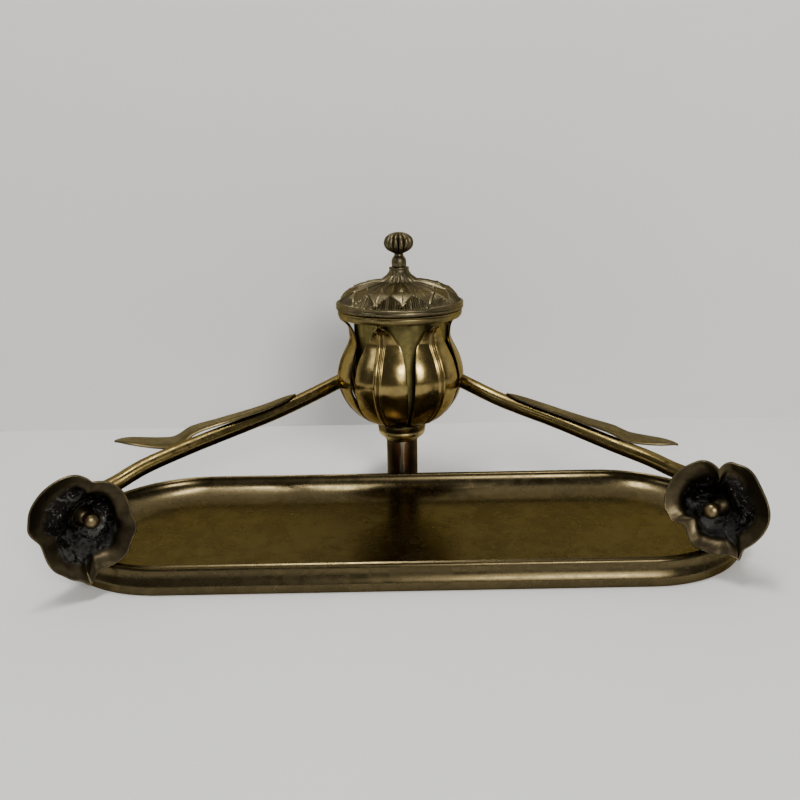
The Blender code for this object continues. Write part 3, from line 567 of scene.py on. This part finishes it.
r, low, high = (pot_high.x - pot_low.x) / 2, pot_low.z, pot_high.z
pot = [(18.8, 57), (r / MM - 0.2, 57), (r / MM, 56.8), (r / MM, 56.2), (r / MM - 0.2, 56)]
pot += [(22.5, 56), (22.3, 55.7), (22.3, 20), (22.2, 14), (21.5, 7), (20.4, 3.2), (18.8, 1.2)]
pot += [(17.0, 0.2), (15, 0), (12, 0.5), (0, 0.9)]
pot += [(0, 2.6), (14, 2.6), (16.4, 3.1), (18.4, 5), (19.6, 9), (20, 15), (20, 54), (19.5, 55.6)]
scale = (high - low) / (57 * MM)
blown = [(x * MM, low + z * MM * scale) for x, z in pot]
pressed = turned(blown + [blown[0]], on_post, 96)
finished(pressed, "glass_pot", pot_glass(), "stand", "pot_glass", "ink_pot")

# ---------------------------------------------------------------- lid
# The lid is cast and chased. Upper leaves run down from the small neck, with ridges
# between them that fork above a lower row of leaves. The lower leaves come to points at
# the plain band, and the fields between the points are lined with short radial ribs.
lid_low, lid_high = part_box("lid")
LID_RADIUS = (lid_high.x - lid_low.x) / 2
LEAVES = 14
LEAF_PHASE = 2.2  # degrees from the front, of one lower leaf
FORK, APEX = 0.58, 0.75  # share of the way from the neck to the band
FIELD_RIBS = 12  # in each leaf's share of the band


def lid_brass():
    tints = ((0.145, 0.120, 0.064), (0.078, 0.064, 0.038), (0.012, 0.010, 0.007))
    finish, colour, roughness, height, depth = aged_brass(
        "lid_brass", *tints, gloss=0.26, dull=0.44, worn=0.5, hollow=0.9 * MM, relief=1.4
    )
    ridge = finish.ease(finish.edge(0.5 * MM), 0.3, 0.55)
    colour = finish.mix(ridge * 0.6, colour, (0.40, 0.32, 0.15))
    return coat(finish, colour, roughness, height, depth)


def lid_relief(turn, along, radius):
    """Height of the chasing, in metres, at an angle in degrees and a share of the way down."""
    share = 360 / LEAVES
    from_tip = (turn - LEAF_PHASE + share / 2) % share - share / 2
    a = abs(from_tip) / (share / 2)  # 0 on a lower leaf's middle, 1 on an upper leaf's
    off = radians(abs(from_tip)) * radius / MM
    off_upper = radians(share / 2 - abs(from_tip)) * radius / MM
    split = FORK + (APEX - FORK) * a**0.8
    down = max(0.0, min(1.0, (1.02 - along) / (1.02 - APEX)))
    leaf_edge = down**1.8
    fade = blend_in(along, 0.0, 0.2)
    upper = 1 - blend_in(along, split - 0.012, split + 0.012)
    in_lower = 1 - blend_in(a, leaf_edge - 0.06, leaf_edge + 0.02)
    dish = -0.7 * (1 - (2 * a - 1) ** 2) * blend_in(along, 0.10, 0.55)
    ridge = 0.5 * hump(off, 0.4 + 0.9 * along) * fade
    vein = 0.32 * hump(off_upper, 0.75) * fade
    lip = 0.24 * hump((along - split + 0.02) / 0.035, 1)
    high_ground = 0.25 + dish + ridge + vein + lip
    crease = 0.12 * hump(off, 0.5)
    rim_line = 0.5 * hump((a - leaf_edge + 0.07) * share / 2 / 1.5, 1)
    low_ground = -0.05 + crease + rim_line
    ribs = 0.5 + 0.5 * cos(radians(from_tip) * FIELD_RIBS * LEAVES)
    field = -0.72 + 0.5 * ribs**0.7
    ground = field + (low_ground - field) * in_lower
    ground += (high_ground - ground) * upper
    return ground * MM * blend_in(along, 0.0, 0.06) * (1 - blend_in(along, 0.99, 1.0))


r, z, top = LID_RADIUS / MM, lid_low.z / MM, lid_high.z / MM
rise, neck = top - z, 5.1
dome = [(neck - 0.1, top - 1.5), (neck + 0.1, top - 2.6), (neck + 1.1, top - 4.4)]
dome += [(neck + 4.6, top - 7.0), (0.46 * r, z + 0.62 * rise), (0.60 * r, z + 0.57 * rise)]
dome += [(0.77 * r, z + 0.475 * rise), (0.87 * r, z + 0.355 * rise), (0.94 * r, z + 0.22 * rise)]
dome += [(0.965 * r, z + 3.6)]
DOME_ROWS = 84
dome_line = [tuple(p * MM) for p in even_line(dome, DOME_ROWS)]
small_neck = [(1.8, top), (4.6, top), (5.0, top - 0.15), (neck, top - 0.5), (neck, top - 0.9)]
small_neck += [(4.95, top - 1.2)]
edge = [(0.985 * r, z + 3.35), (r - 0.12, z + 3.2), (r, z + 2.9), (r, z + 2.3)]
edge += [(r - 0.18, z + 2.1), (r - 0.2, z + 1.95), (r - 0.05, z + 1.75), (r, z + 1.4)]
edge += [(r, z + 0.45), (r - 0.3, z + 0.05), (r - 0.6, z)]
hollow = [(r - 2.6, z), (r - 2.6, z + 2.3), (0.88 * r - 1.3, z + 0.355 * rise - 2.1)]
hollow += [(0.70 * r, z + 0.51 * rise - 2.3), (0.40 * r, z + 0.62 * rise - 2.3)]
hollow += [(neck + 1.2, top - 7.8), (neck - 0.3, top - 4.8), (1.8, top - 4.8), (1.8, top)]


def millimetres(points):
    return [(x * MM, y * MM) for x, y in points]


section = millimetres(small_neck) + dome_line + millimetres(edge + hollow)
bm = turned(section, Matrix(), 720)
where = {round(p[1] / (0.0002 * MM)): n for n, p in enumerate(dome_line)}
for v in bm.verts:
    row = where.get(round(v.co.z / (0.0002 * MM)))
    if row is None:
        continue
    radius = hypot(v.co.x, v.co.y)
    if abs(radius - dome_line[row][0]) > 0.01 * MM:
        continue
    before, after = dome_line[max(row - 1, 0)], dome_line[min(row + 1, DOME_ROWS - 1)]
    slope = Vector((after[0] - before[0], after[1] - before[1])).normalized()
    turn = degrees(atan2(v.co.x, -v.co.y))
    lift = lid_relief(turn, row / (DOME_ROWS - 1), radius)
    out = Vector((v.co.x, v.co.y)) / radius
    v.co.x += out.x * -slope.y * lift
    v.co.y += out.y * -slope.y * lift
    v.co.z += slope.x * lift
bmesh.ops.transform(bm, verts=bm.verts, matrix=on_post)
LID_FINISH = lid_brass()
finished(bm, "domed_lid", LID_FINISH, "lid", "lid_brass", "lid", sharp=50)

# ---------------------------------------------------------------- finial
# A turned bead and neck screw through the lid and carry a cast seed head, whose ribs
# swell at the shoulder and gather at the foot. A nut under the lid holds the shank.
stem_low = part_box("finial_stem")[0]
head_low, head_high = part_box("finial_head")
HEAD_RIBS = 14
bead = lid_high.z + 0.3 * MM
turnings = [(0, 6.0), (2.2, 6.0), (2.3, 5.8), (2.35, 5.4), (2.6, 5.0), (3.1, 4.4), (3.5, 3.6)]
turnings += [(3.75, 2.7), (3.8, 1.8), (3.72, 0.9), (3.65, 0.45), (3.7, 0.25), (3.6, 0), (1.5, 0)]
shank = [(x * MM, bead + y * MM) for x, y in turnings]
shank += [(1.5 * MM, stem_low.z), (0, stem_low.z)]
bead_and_neck = turned(shank, on_post, 64)
finished(bead_and_neck, "finial_bead", LID_FINISH, "lid", "lid_brass", "finial_stem")
nut = eased(copied("finial_nut"), 0.15 * MM)
finished(nut, "lid_nut", DARK, "lid", "dark_brass", "finial_nut")

neck_top = bead + 6.0 * MM
head_foot, head_top = neck_top + 0.2 * MM, head_high.z - 0.02 * MM
middle = (head_foot + head_top) / 2
half = (head_top - head_foot) / 2
pod = [(0.0, -1.0), (0.30, -1.0), (0.36, -0.94), (0.52, -0.84), (0.78, -0.62), (0.94, -0.34)]
pod += [(0.995, 0.0), (0.96, 0.30), (0.86, 0.56), (0.68, 0.77), (0.45, 0.92), (0.2, 0.99)]
pod += [(0, 1.0)]
head_radius = (head_high.x - head_low.x) / 2
pod_line = [(p.x * head_radius, p.y * half) for p in even_line(pod, 44)]
bm = turned(pod_line, Matrix(), HEAD_RIBS * 16)
for v in bm.verts:
    turn = atan2(v.co.y, v.co.x)
    twist = 0.10 * sin(3 * turn) + 0.05 * sin(5 * turn + 1)
    wave = abs(cos((turn + twist * 0.3) * HEAD_RIBS / 2))
    groove = 1 - wave**0.55
    radius = hypot(v.co.x, v.co.y)
    show = blend_in(radius, 0.1 * head_radius, 0.5 * head_radius)
    depth = 1 - 0.24 * groove * show
    v.co.x *= depth
    v.co.y *= depth
    v.co.z *= 1 - 0.09 * groove * show
bmesh.ops.translate(bm, verts=bm.verts, vec=POST_AXIS + Vector((0, 0, middle)))
finished(bm, "seed_head", LID_FINISH, "lid", "lid_brass", "finial_head", sharp=70)

# ---------------------------------------------------------------- hinge
# A three-knuckle hinge at the back: the outer knuckles belong to the ring, the middle one
# to the lid, and a headed pin runs through them. It is filed up from solid brass.
for node, name, body in (
    ("hinge_leaf_ring", "ring_leaf", "stand"),
    ("hinge_leaf_lid", "lid_leaf", "lid"),
    ("hinge_pin", "pin", "stand"),
):
    filed_up = eased(copied(node), 0.12 * MM, 40)
    finished(filed_up, name, DARK, body, "dark_brass", node, sharp=35)

# ---------------------------------------------------------------- flowers
# Each poppy is beaten from one sheet: a deep bowl that opens to an uneven lip with a notch
# at the top and a point below. The bowl darkens to nearly black towards its throat, dark
# patina deepened by painted shade, with grey residue; the lip is brown and the cut edge
# bright. A cone and a knob are screwed through it into the calyx.
RIM_FACES = (35, 11)  # degrees inwards from the front, and degrees up
THROAT_FACES = (49.5, -4)
FLOWER_DEPTH = 14 * MM
FLOWER_SHEET = 0.8 * MM
THROAT_RADIUS = 5.5 * MM
FLOWERS = {
    "left": {
        "sign": -1,
        "inset": (26.8, 3.8),
        "height": 29.8,
        "throat": (2.9, 1.8),
        "rim": (
            (2, 18.9, False), (38, 19.8, False), (70, 17.6, True), (100, 21.3, False),
            (145, 21.4, False), (168, 20.6, False), (193, 17.1, False), (235, 20.2, False),
            (254, 21.4, False), (266, 23.7, True), (280, 19.4, False), (312, 20.9, False),
            (328, 20.1, False), (342, 20.7, False),
        ),
    },
    "right": {
        "sign": 1,
        "inset": (27.7, 9.8),
        "height": 31.4,
        "throat": (-1.3, -2.6),
        "rim": (
            (32, 18.6, False), (58, 19.5, False), (76, 18.6, False), (95, 14.4, True),
            (120, 18.8, False), (160, 19.9, False), (193, 20.6, False), (208, 19.6, False),
            (224, 16.6, False), (256, 19.9, False), (289, 20.2, False), (300, 23.0, True),
            (311, 19.8, False), (350, 20.3, False),
        ),
    },
}


def flower_brass():
    tints = ((0.072, 0.058, 0.032), (0.030, 0.022, 0.013), (0.010, 0.008, 0.006))
    finish, colour, roughness, height, depth = aged_brass(
        "flower_brass", *tints, gloss=0.3, dull=0.48, worn=0.5, hollow=3 * MM, relief=2.5
    )
    inward = Shade(finish, finish.node(
        "ShaderNodeAttribute", {"attribute_name": "inward"}).outputs["Fac"])
    wander = finish.noise(120, 4)
    # Deep in the bowl the colour goes nearly black: dark patina with painted shade.
    bowl = finish.ease(inward + wander * 0.3 - 0.15, 0.22, 0.36)
    colour = finish.mix(bowl, colour, (0.012, 0.010, 0.009))
    place = finish.node("ShaderNodeTexCoord").outputs["Object"]
    up = finish.node("ShaderNodeSeparateXYZ", {}, {0: place}).outputs[2]
    low = 1 - finish.ease(up, 19 * MM, 31 * MM)
    scum = finish.noise(150, 6, rough=0.62, twist=2.2)
    veil = finish.ease(scum + low * 0.16, 0.54, 0.72) * bowl
    colour = finish.mix(veil * 0.75, colour, (0.085, 0.085, 0.08))
    streaks = finish.ease(finish.noise(420, 5, rough=0.6, twist=3.5), 0.60, 0.68) * bowl
    colour = finish.mix(streaks * 0.7, colour, (0.30, 0.31, 0.30))
    edge = finish.ease(finish.edge(0.6 * MM), 0.36, 0.54)
    colour = finish.mix(edge * 0.9, colour, (0.58, 0.48, 0.28))
    roughness = roughness + streaks * 0.2 + veil * 0.1
    finish.feed(finish.shader.inputs["Metallic"], 1 - (veil * 0.5 + streaks * 0.5))
    return coat(finish, colour, roughness, height, depth)


def knob_brass():
    tints = ((0.27, 0.21, 0.11), (0.13, 0.098, 0.05), (0.03, 0.024, 0.016))
    return coat(*aged_brass("knob_brass", *tints, gloss=0.28, dull=0.45, worn=0.5))


def facing(sign, inwards, up):
    """Rotation whose Z points to the front, turned inwards and up."""
    turn = Matrix.Rotation(-sign * radians(inwards), 4, "Z")
    return turn @ Matrix.Rotation(radians(90 - up), 4, "X")


def rim_radius(rim, angle):
    """Radius of a flower's edge, in metres, at an angle in degrees."""
    table = rim + ((rim[0][0] + 360, *rim[0][1:]),)
    angle = (angle - rim[0][0]) % 360 + rim[0][0]
    for (a, low, low_point), (b, high, high_point) in zip(table, table[1:]):
        if a <= angle <= b:
            x = (angle - a) / (b - a)
            if low_point:
                x = sin(x * pi / 2)
            elif high_point:
                x = 1 - cos(x * pi / 2)
            else:
                x = (1 - cos(x * pi)) / 2
            return (low + (high - low) * x) * MM
    return rim[0][1] * MM


def flower_frames(flower):
    """Matrices of the rim's middle and of the throat, each with +Z out of the flower."""
    sign = flower["sign"]
    inset_x, inset_y = flower["inset"]
    centre = TRAY_MIDDLE + Vector((
        sign * (TRAY_HALF_LENGTH - inset_x * MM),
        inset_y * MM - TRAY_HALF_DEPTH,
        flower["height"] * MM,
    ))
    rim = Matrix.Translation(centre) @ facing(sign, *RIM_FACES)
    off_x, off_y = flower["throat"]
    throat = rim @ Vector((off_x * MM, off_y * MM, -FLOWER_DEPTH))
    return rim, Matrix.Translation(throat) @ facing(sign, *THROAT_FACES)


def poppy(word, flower):
    rim, throat = flower_frames(flower)
    steps, rings = 240, 34
    bm = turned([(n / rings, 0) for n in range(rings + 1)], Matrix(), steps)
    inward = bm.verts.layers.float.new("inward")
    curves = {}
    for v in bm.verts:
        share = hypot(v.co.x, v.co.y)
        turn = round(degrees(atan2(v.co.y, v.co.x)) * steps / 360) % steps
        if turn not in curves:
            angle = 360 * turn / steps
            edge = rim_radius(flower["rim"], angle)
            wave = 0.35 * (edge - 19.7 * MM)
            way = Vector((cos(radians(angle)), sin(radians(angle)), 0))
            curves[turn] = even_line(
                [
                    throat @ (way * 1.3 * MM),
                    throat @ (way * THROAT_RADIUS),
                    throat @ (way * 1.9 * THROAT_RADIUS + Vector((0, 0, 3.4 * MM))),
                    rim @ (way * (edge - 5.2 * MM) + Vector((0, 0, -4.2 * MM))),
                    rim @ (way * edge + Vector((0, 0, wave))),
                ],
                rings + 1,
            )
        row = round(share * rings)
        spot = curves[turn][row]
        beaten = noise.noise(spot * 160) * 0.35 + noise.noise(spot * 420) * 0.12
        push = (rim.to_3x3() @ Vector((0, 0, 1))) * beaten * MM * blend_in(share, 0.3, 0.6)
        v.co = spot + push * (1 - 0.6 * blend_in(share, 0.9, 1))
        v[inward] = 1 - share
    hole = [v for v in bm.verts if v[inward] > 0.999]
    bmesh.ops.delete(bm, geom=hole, context="VERTS")
    bmesh.ops.recalc_face_normals(bm, faces=bm.faces)
    faces_out = sum((f.normal.dot(rim.to_3x3() @ Vector((0, 0, 1))) for f in bm.faces))
    if faces_out < 0:
        bmesh.ops.reverse_faces(bm, faces=bm.faces)
    walled(
        bm, f"poppy_{word}", FLOWER_SHEET, FLOWER_FINISH, f"flower_{word}",
        back=STEM_FINISH,
    )
    return throat


def flower_heart(word, throat):
    """Cone, knob and calyx, all turned on the throat's axis."""
    cone = [(1.4, 3.8), (2.3, 3.8), (2.75, 3.6), (3.3, 3.1), (3.9, 2.2), (4.4, 1.2), (4.75, 0.6)]
    cone += [(4.8, 0.35), (4.6, 0.3), (1.4, 0.3), (1.4, 3.8)]
    finished(
        turned(millimetres(cone), throat, 56), f"cone_{word}", FLOWER_FINISH, "stand",
        "flower_brass", f"pistil_cone_{word}",
    )
    knob = [(0, 10.05), (1.0, 9.95), (2.0, 9.55), (2.9, 8.75), (3.4, 7.8), (3.5, 7.0), (3.3, 6.1)]
    knob += [(2.8, 5.2), (2.2, 4.6), (1.9, 4.15), (1.0, 4.1), (1.0, -5.1), (0, -5.1)]
    finished(
        turned(millimetres(knob), throat, 56), f"knob_{word}", KNOB_FINISH, "stand",
        "stem_brass", f"pistil_knob_{word}",
    )
    calyx = [(0, -5.4), (1.3, -5.4), (1.3, -1.1), (4.0, -1.1), (4.6, -1.25), (5.0, -1.8)]
    calyx += [(5.05, -2.6), (4.7, -3.8), (4.3, -5.0), (4.15, -5.9), (4.3, -6.3), (4.2, -6.8)]
    calyx += [(3.7, -7.3), (3.6, -7.7), (0, -7.7)]
    finished(
        turned(millimetres(calyx), throat, 56), f"calyx_cup_{word}", STEM_FINISH, "stand",
        "dark_brass", f"calyx_{word}",
    )
    return throat @ Vector((0, 0, -8.0 * MM))


def stem_brass():
    tints = ((0.20, 0.15, 0.052), (0.11, 0.078, 0.030), (0.018, 0.013, 0.008))
    finish, colour, roughness, height, depth = aged_brass(
        "stem_brass", *tints, gloss=0.2, dull=0.38, worn=0.5
    )
    # Painted shade: the surface is darkened where it faces down, by its normal.
    place = finish.node("ShaderNodeNewGeometry").outputs["Normal"]
    up = Shade(finish, finish.node("ShaderNodeSeparateXYZ", {}, {0: place}).outputs[2])
    painted_underside_shade = 1 - finish.ease(up + finish.noise(140, 3) * 0.5, -0.35, 0.45)
    colour = finish.mix(painted_underside_shade * 0.8, colour, (0.03, 0.021, 0.011))
    return coat(finish, colour, roughness, height, depth)


FLOWER_FINISH = flower_brass()
KNOB_FINISH = knob_brass()
STEM_FINISH = stem_brass()
throats = {word: poppy(word, flower) for word, flower in FLOWERS.items()}
stem_ends = {word: flower_heart(word, throat) for word, throat in throats.items()}

# ---------------------------------------------------------------- stems
# The stems are brass tube, bent by hand: each leaves the side of the tulip, where it is
# soldered to a petal, runs outwards and down to the front, and hooks into its calyx.
STEM_RADIUS = 3.6 * MM
STEMS = {
    "left": {
        "leaves_below": 2.4,
        "bow": ((0.16, -0.8), (0.32, -0.9), (0.5, 0.2), (0.7, 1.6), (0.88, 1.9)),
        "knee": (-10.0, 19.5, 2.6),
    },
    "right": {
        "leaves_below": 3.6,
        "bow": ((0.2, -1.4), (0.34, -1.0), (0.5, -0.2), (0.75, 0.0), (0.92, 0.5)),
        "knee": (-17.6, 25.0, 5.0),
    },
}


def stem_route(word):
    sign, end, stem = FLOWERS[word]["sign"], stem_ends[word], STEMS[word]
    leaves_at = PETAL_FOOT + 0.432 * PETAL_RISE - stem["leaves_below"] * MM
    start = Vector((sign * (BULB_RADIUS - 1.6 * MM), POST_AXIS.y, leaves_at + 0.9 * MM))
    kx, ky, kz = stem["knee"]
    knee = end + Vector((sign * kx, ky, kz)) * MM
    route = [start]
    for share, rise in stem["bow"]:
        route.append(start.lerp(knee, share) + Vector((0, 0, rise * MM)))
    outwards = throats[word].to_3x3() @ Vector((0, 0, 1))
    hook = end + Vector((sign * 3.6, 6.9, -0.6)) * MM
    route += [knee, end + Vector((sign * 0.2, 14.2, -0.2)) * MM, hook, end - outwards * 2.5 * MM]
    return even_line(route, 27) + [end]


def drawn_tube(line, radius, sides=32):
    """A ring carried along a line, without twist, with both ends closed."""
    bm = bmesh.new()
    last = len(line) - 1
    ways = [(line[min(n + 1, last)] - line[max(n - 1, 0)]).normalized() for n in range(last + 1)]
    turn = ways[0].to_track_quat("Z", "Y")
    frames = []
    for n, way in enumerate(ways):
        if n:
            turn = ways[n - 1].rotation_difference(way) @ turn
        frames.append(Matrix.Translation(line[n]) @ turn.to_matrix().to_4x4())
    bmesh.ops.create_circle(bm, cap_ends=True, radius=radius, segments=sides, matrix=frames[0])
    ring = bm.edges[:]
    for before, after in zip(frames, frames[1:]):
        drawn = bmesh.ops.extrude_edge_only(bm, edges=ring)
        verts = newly(drawn, bmesh.types.BMVert)
        ring = [e for e in newly(drawn, bmesh.types.BMEdge) if all(v in verts for v in e.verts)]
        bmesh.ops.transform(bm, verts=verts, matrix=after @ before.inverted())
    bmesh.ops.contextual_create(bm, geom=ring)
    return bm


for word in STEMS:
    line = even_line(stem_route(word), 110)
    finished(
        drawn_tube(line, STEM_RADIUS), f"tube_{word}", STEM_FINISH, "stand", "stem_brass",
        f"stem_{word}",
    )

# ---------------------------------------------------------------- leaves
# Each leaf is a long channelled strip, soldered to the top of its stem. It lies along the
# stem, widens, rolls a little to the front, and ends in a turned-up point. The upper face
# has gone grey brown, and the filed edges show copper.
LEAF_SHEET = 1.0 * MM
LEAF_WIDTH = 12 * MM
LEAVES_ON = {
    "left": {
        "passes": ((5, 0, 0.1), (8, 0, 0.2), (12, 2.8, 0.9), (15, 8.8, 0.4), (17, 12.0, -2.3)),
        "roll": 0.16,
        "tip": (-8.0, 35.0, 19.0),
    },
    "right": {
        "passes": ((5, 0, 0.1), (8, 0, 0.4), (12, 1.5, 0.8), (15, 4.6, 1.2), (17, 7.6, 0.0)),
        "roll": 0.05,
        "tip": (-11.0, 35.0, 13.5),
    },
}


def leaf_brass():
    tints = ((0.17, 0.14, 0.07), (0.10, 0.082, 0.048), (0.02, 0.015, 0.010))
    finish, colour, roughness, height, depth = aged_brass(
        "leaf_brass", *tints, gloss=0.26, dull=0.42, worn=0.5
    )
    edge = finish.ease(finish.edge(0.5 * MM), 0.4, 0.6)
    colour = finish.mix(edge * 0.8, colour, (0.36, 0.20, 0.09))
    return coat(finish, colour, roughness, height, depth)


def leaf(word):
    sign, end, shape = FLOWERS[word]["sign"], stem_ends[word], LEAVES_ON[word]
    stem = stem_route(word)
    rest = STEM_RADIUS + LEAF_SHEET + 0.15 * MM
    route = [
        stem[step] + Vector((0, behind * MM, rest + rise * MM))
        for step, behind, rise in shape["passes"]
    ]
    tip_x, tip_y, tip_z = shape["tip"]
    route.append(end + Vector((sign * tip_x, tip_y, tip_z)) * MM)
    rows = 110
    line = even_line(route, rows + 1)
    outline = [(0, 0.04), (0.1, 0.4), (0.45, 0.62), (0.75, 1), (0.9, 0.72), (1, 0.02)]
    widths = even_line(outline, 400)

    def point(across, along):
        across = -across * sign
        n = round(along * rows)
        way = (line[min(n + 1, rows)] - line[max(n - 1, 0)]).normalized()
        aside = way.cross(Vector((0, 0, 1))).normalized() * -sign
        half = min(widths, key=lambda w: abs(w[0] - along))[1] * LEAF_WIDTH / 2
        lift = shape["roll"] * along + 0.12 * across
        crease = -0.25 * MM * hump(across * half, 1.1 * MM) * blend_in(along, 0.05, 0.3)
        return line[n] + aside * across * half + Vector((0, 0, lift * half * across + crease))

    walled(
        grid_face(rows, 16, point), f"blade_{word}", LEAF_SHEET, LEAF_FINISH,
        f"leaf_{word}", edge=0.25 * MM,
    )


LEAF_FINISH = leaf_brass()
for word in LEAVES_ON:
    leaf(word)

# ---------------------------------------------------------------- studio
# A pale floor meets a pale wall close behind the object. The wall is clear from its back, so
# that the object can be seen from there. A soft window light stands high at the front, a
# strip hangs overhead, and a weak light stands at the left.
FLOOR_HALF = (3, 1.6)
WALL_BEHIND = 152 * MM
WALL_HEIGHT = 1.8


def painted(name, colour, roughness):
    finish = Finish(name, Roughness=roughness)
    tone = finish.noise(7, 3)
    pale = tuple(c * 0.94 for c in colour)
    finish.feed(finish.shader.inputs["Base Color"], finish.mix(tone, colour, pale))
    behind = finish.node("ShaderNodeNewGeometry").outputs["Backfacing"]
    clear = finish.node("ShaderNodeBsdfTransparent").outputs[0]
    sides = {0: behind, 1: finish.shader.outputs[0], 2: clear}
    surface = finish.node("ShaderNodeMixShader", {}, sides).outputs[0]
    finish.feed(finish.material.node_tree.nodes["Material Output"].inputs["Surface"], surface)
    return finish.material


bm = bmesh.new()
bmesh.ops.create_grid(bm, x_segments=2, y_segments=2, size=1)
bmesh.ops.transform(bm, verts=bm.verts, matrix=Matrix.Diagonal((*FLOOR_HALF, 1, 1)))
bmesh.ops.translate(bm, verts=bm.verts, vec=(0, WALL_BEHIND - FLOOR_HALF[1], 0))
back = [e for e in bm.edges if all(v.co.y > WALL_BEHIND - MM for v in e.verts)]
raised = bmesh.ops.extrude_edge_only(bm, edges=back)
bmesh.ops.translate(bm, verts=newly(raised, bmesh.types.BMVert), vec=(0, 0, WALL_HEIGHT))
bmesh.ops.recalc_face_normals(bm, faces=bm.faces)
if sum(f.normal.z for f in bm.faces) < 0:
    bmesh.ops.reverse_faces(bm, faces=bm.faces)
mesh = bpy.data.meshes.new("floor")
bm.to_mesh(mesh)
bm.free()
mesh.materials.append(painted("pale_floor", (0.78, 0.78, 0.77), 0.8))
floor_and_wall = bpy.data.objects.new("floor", mesh)
bpy.context.scene.collection.objects.link(floor_and_wall)

target = Vector((0, 0, 0.05))
LIGHTS = (
    ("window", (0.42, -1.22, 0.64), (0.55, 0.42), 15.0, (1.0, 0.98, 0.93)),
    ("ceiling", (-0.10, 0.04, 1.15), (0.8, 0.18), 12.0, (1.0, 0.99, 0.97)),
    ("side", (-1.0, -0.5, 0.7), (0.4, 0.4), 1.6, (0.96, 0.98, 1.0)),
)
for name, place, size, power, colour in LIGHTS:
    light = bpy.data.lights.new(name, "AREA")
    light.shape = "RECTANGLE"
    light.size, light.size_y = size
    light.energy = power
    light.color = colour
    lamp = bpy.data.objects.new(name, light)
    lamp.matrix_world = Matrix.Translation(place) @ (
        (Vector(place) - target).to_track_quat("Z", "Y").to_matrix().to_4x4()
    )
    bpy.context.scene.collection.objects.link(lamp)

world = bpy.data.worlds.new("studio")
world.use_nodes = True
world.node_tree.nodes["Background"].inputs["Color"].default_value = (0.5, 0.5, 0.5, 1)
world.node_tree.nodes["Background"].inputs["Strength"].default_value = 0.22
bpy.context.scene.world = world

# ---------------------------------------------------------------- camera
# A view from in front and above, as of someone seated at the desk. It is turned about a
# degree on its own axis, because it is held by hand.
CAMERA_BACK = 345.4 * MM
CAMERA_HEIGHT = 164.4 * MM
LOOKS_DOWN = 15.93
HELD_ASKEW = -1.05
lens = bpy.data.cameras.new("camera")
lens.sensor_width = 36
lens.lens = 36
camera = bpy.data.objects.new("camera", lens)
camera.matrix_world = (
    Matrix.Translation((-0.73 * MM, TRAY_MIDDLE.y - CAMERA_BACK, CAMERA_HEIGHT))
    @ Matrix.Rotation(radians(90 - LOOKS_DOWN), 4, "X")
    @ Matrix.Rotation(radians(HELD_ASKEW), 4, "Z")
)
bpy.context.scene.collection.objects.link(camera)
bpy.context.scene.camera = camera
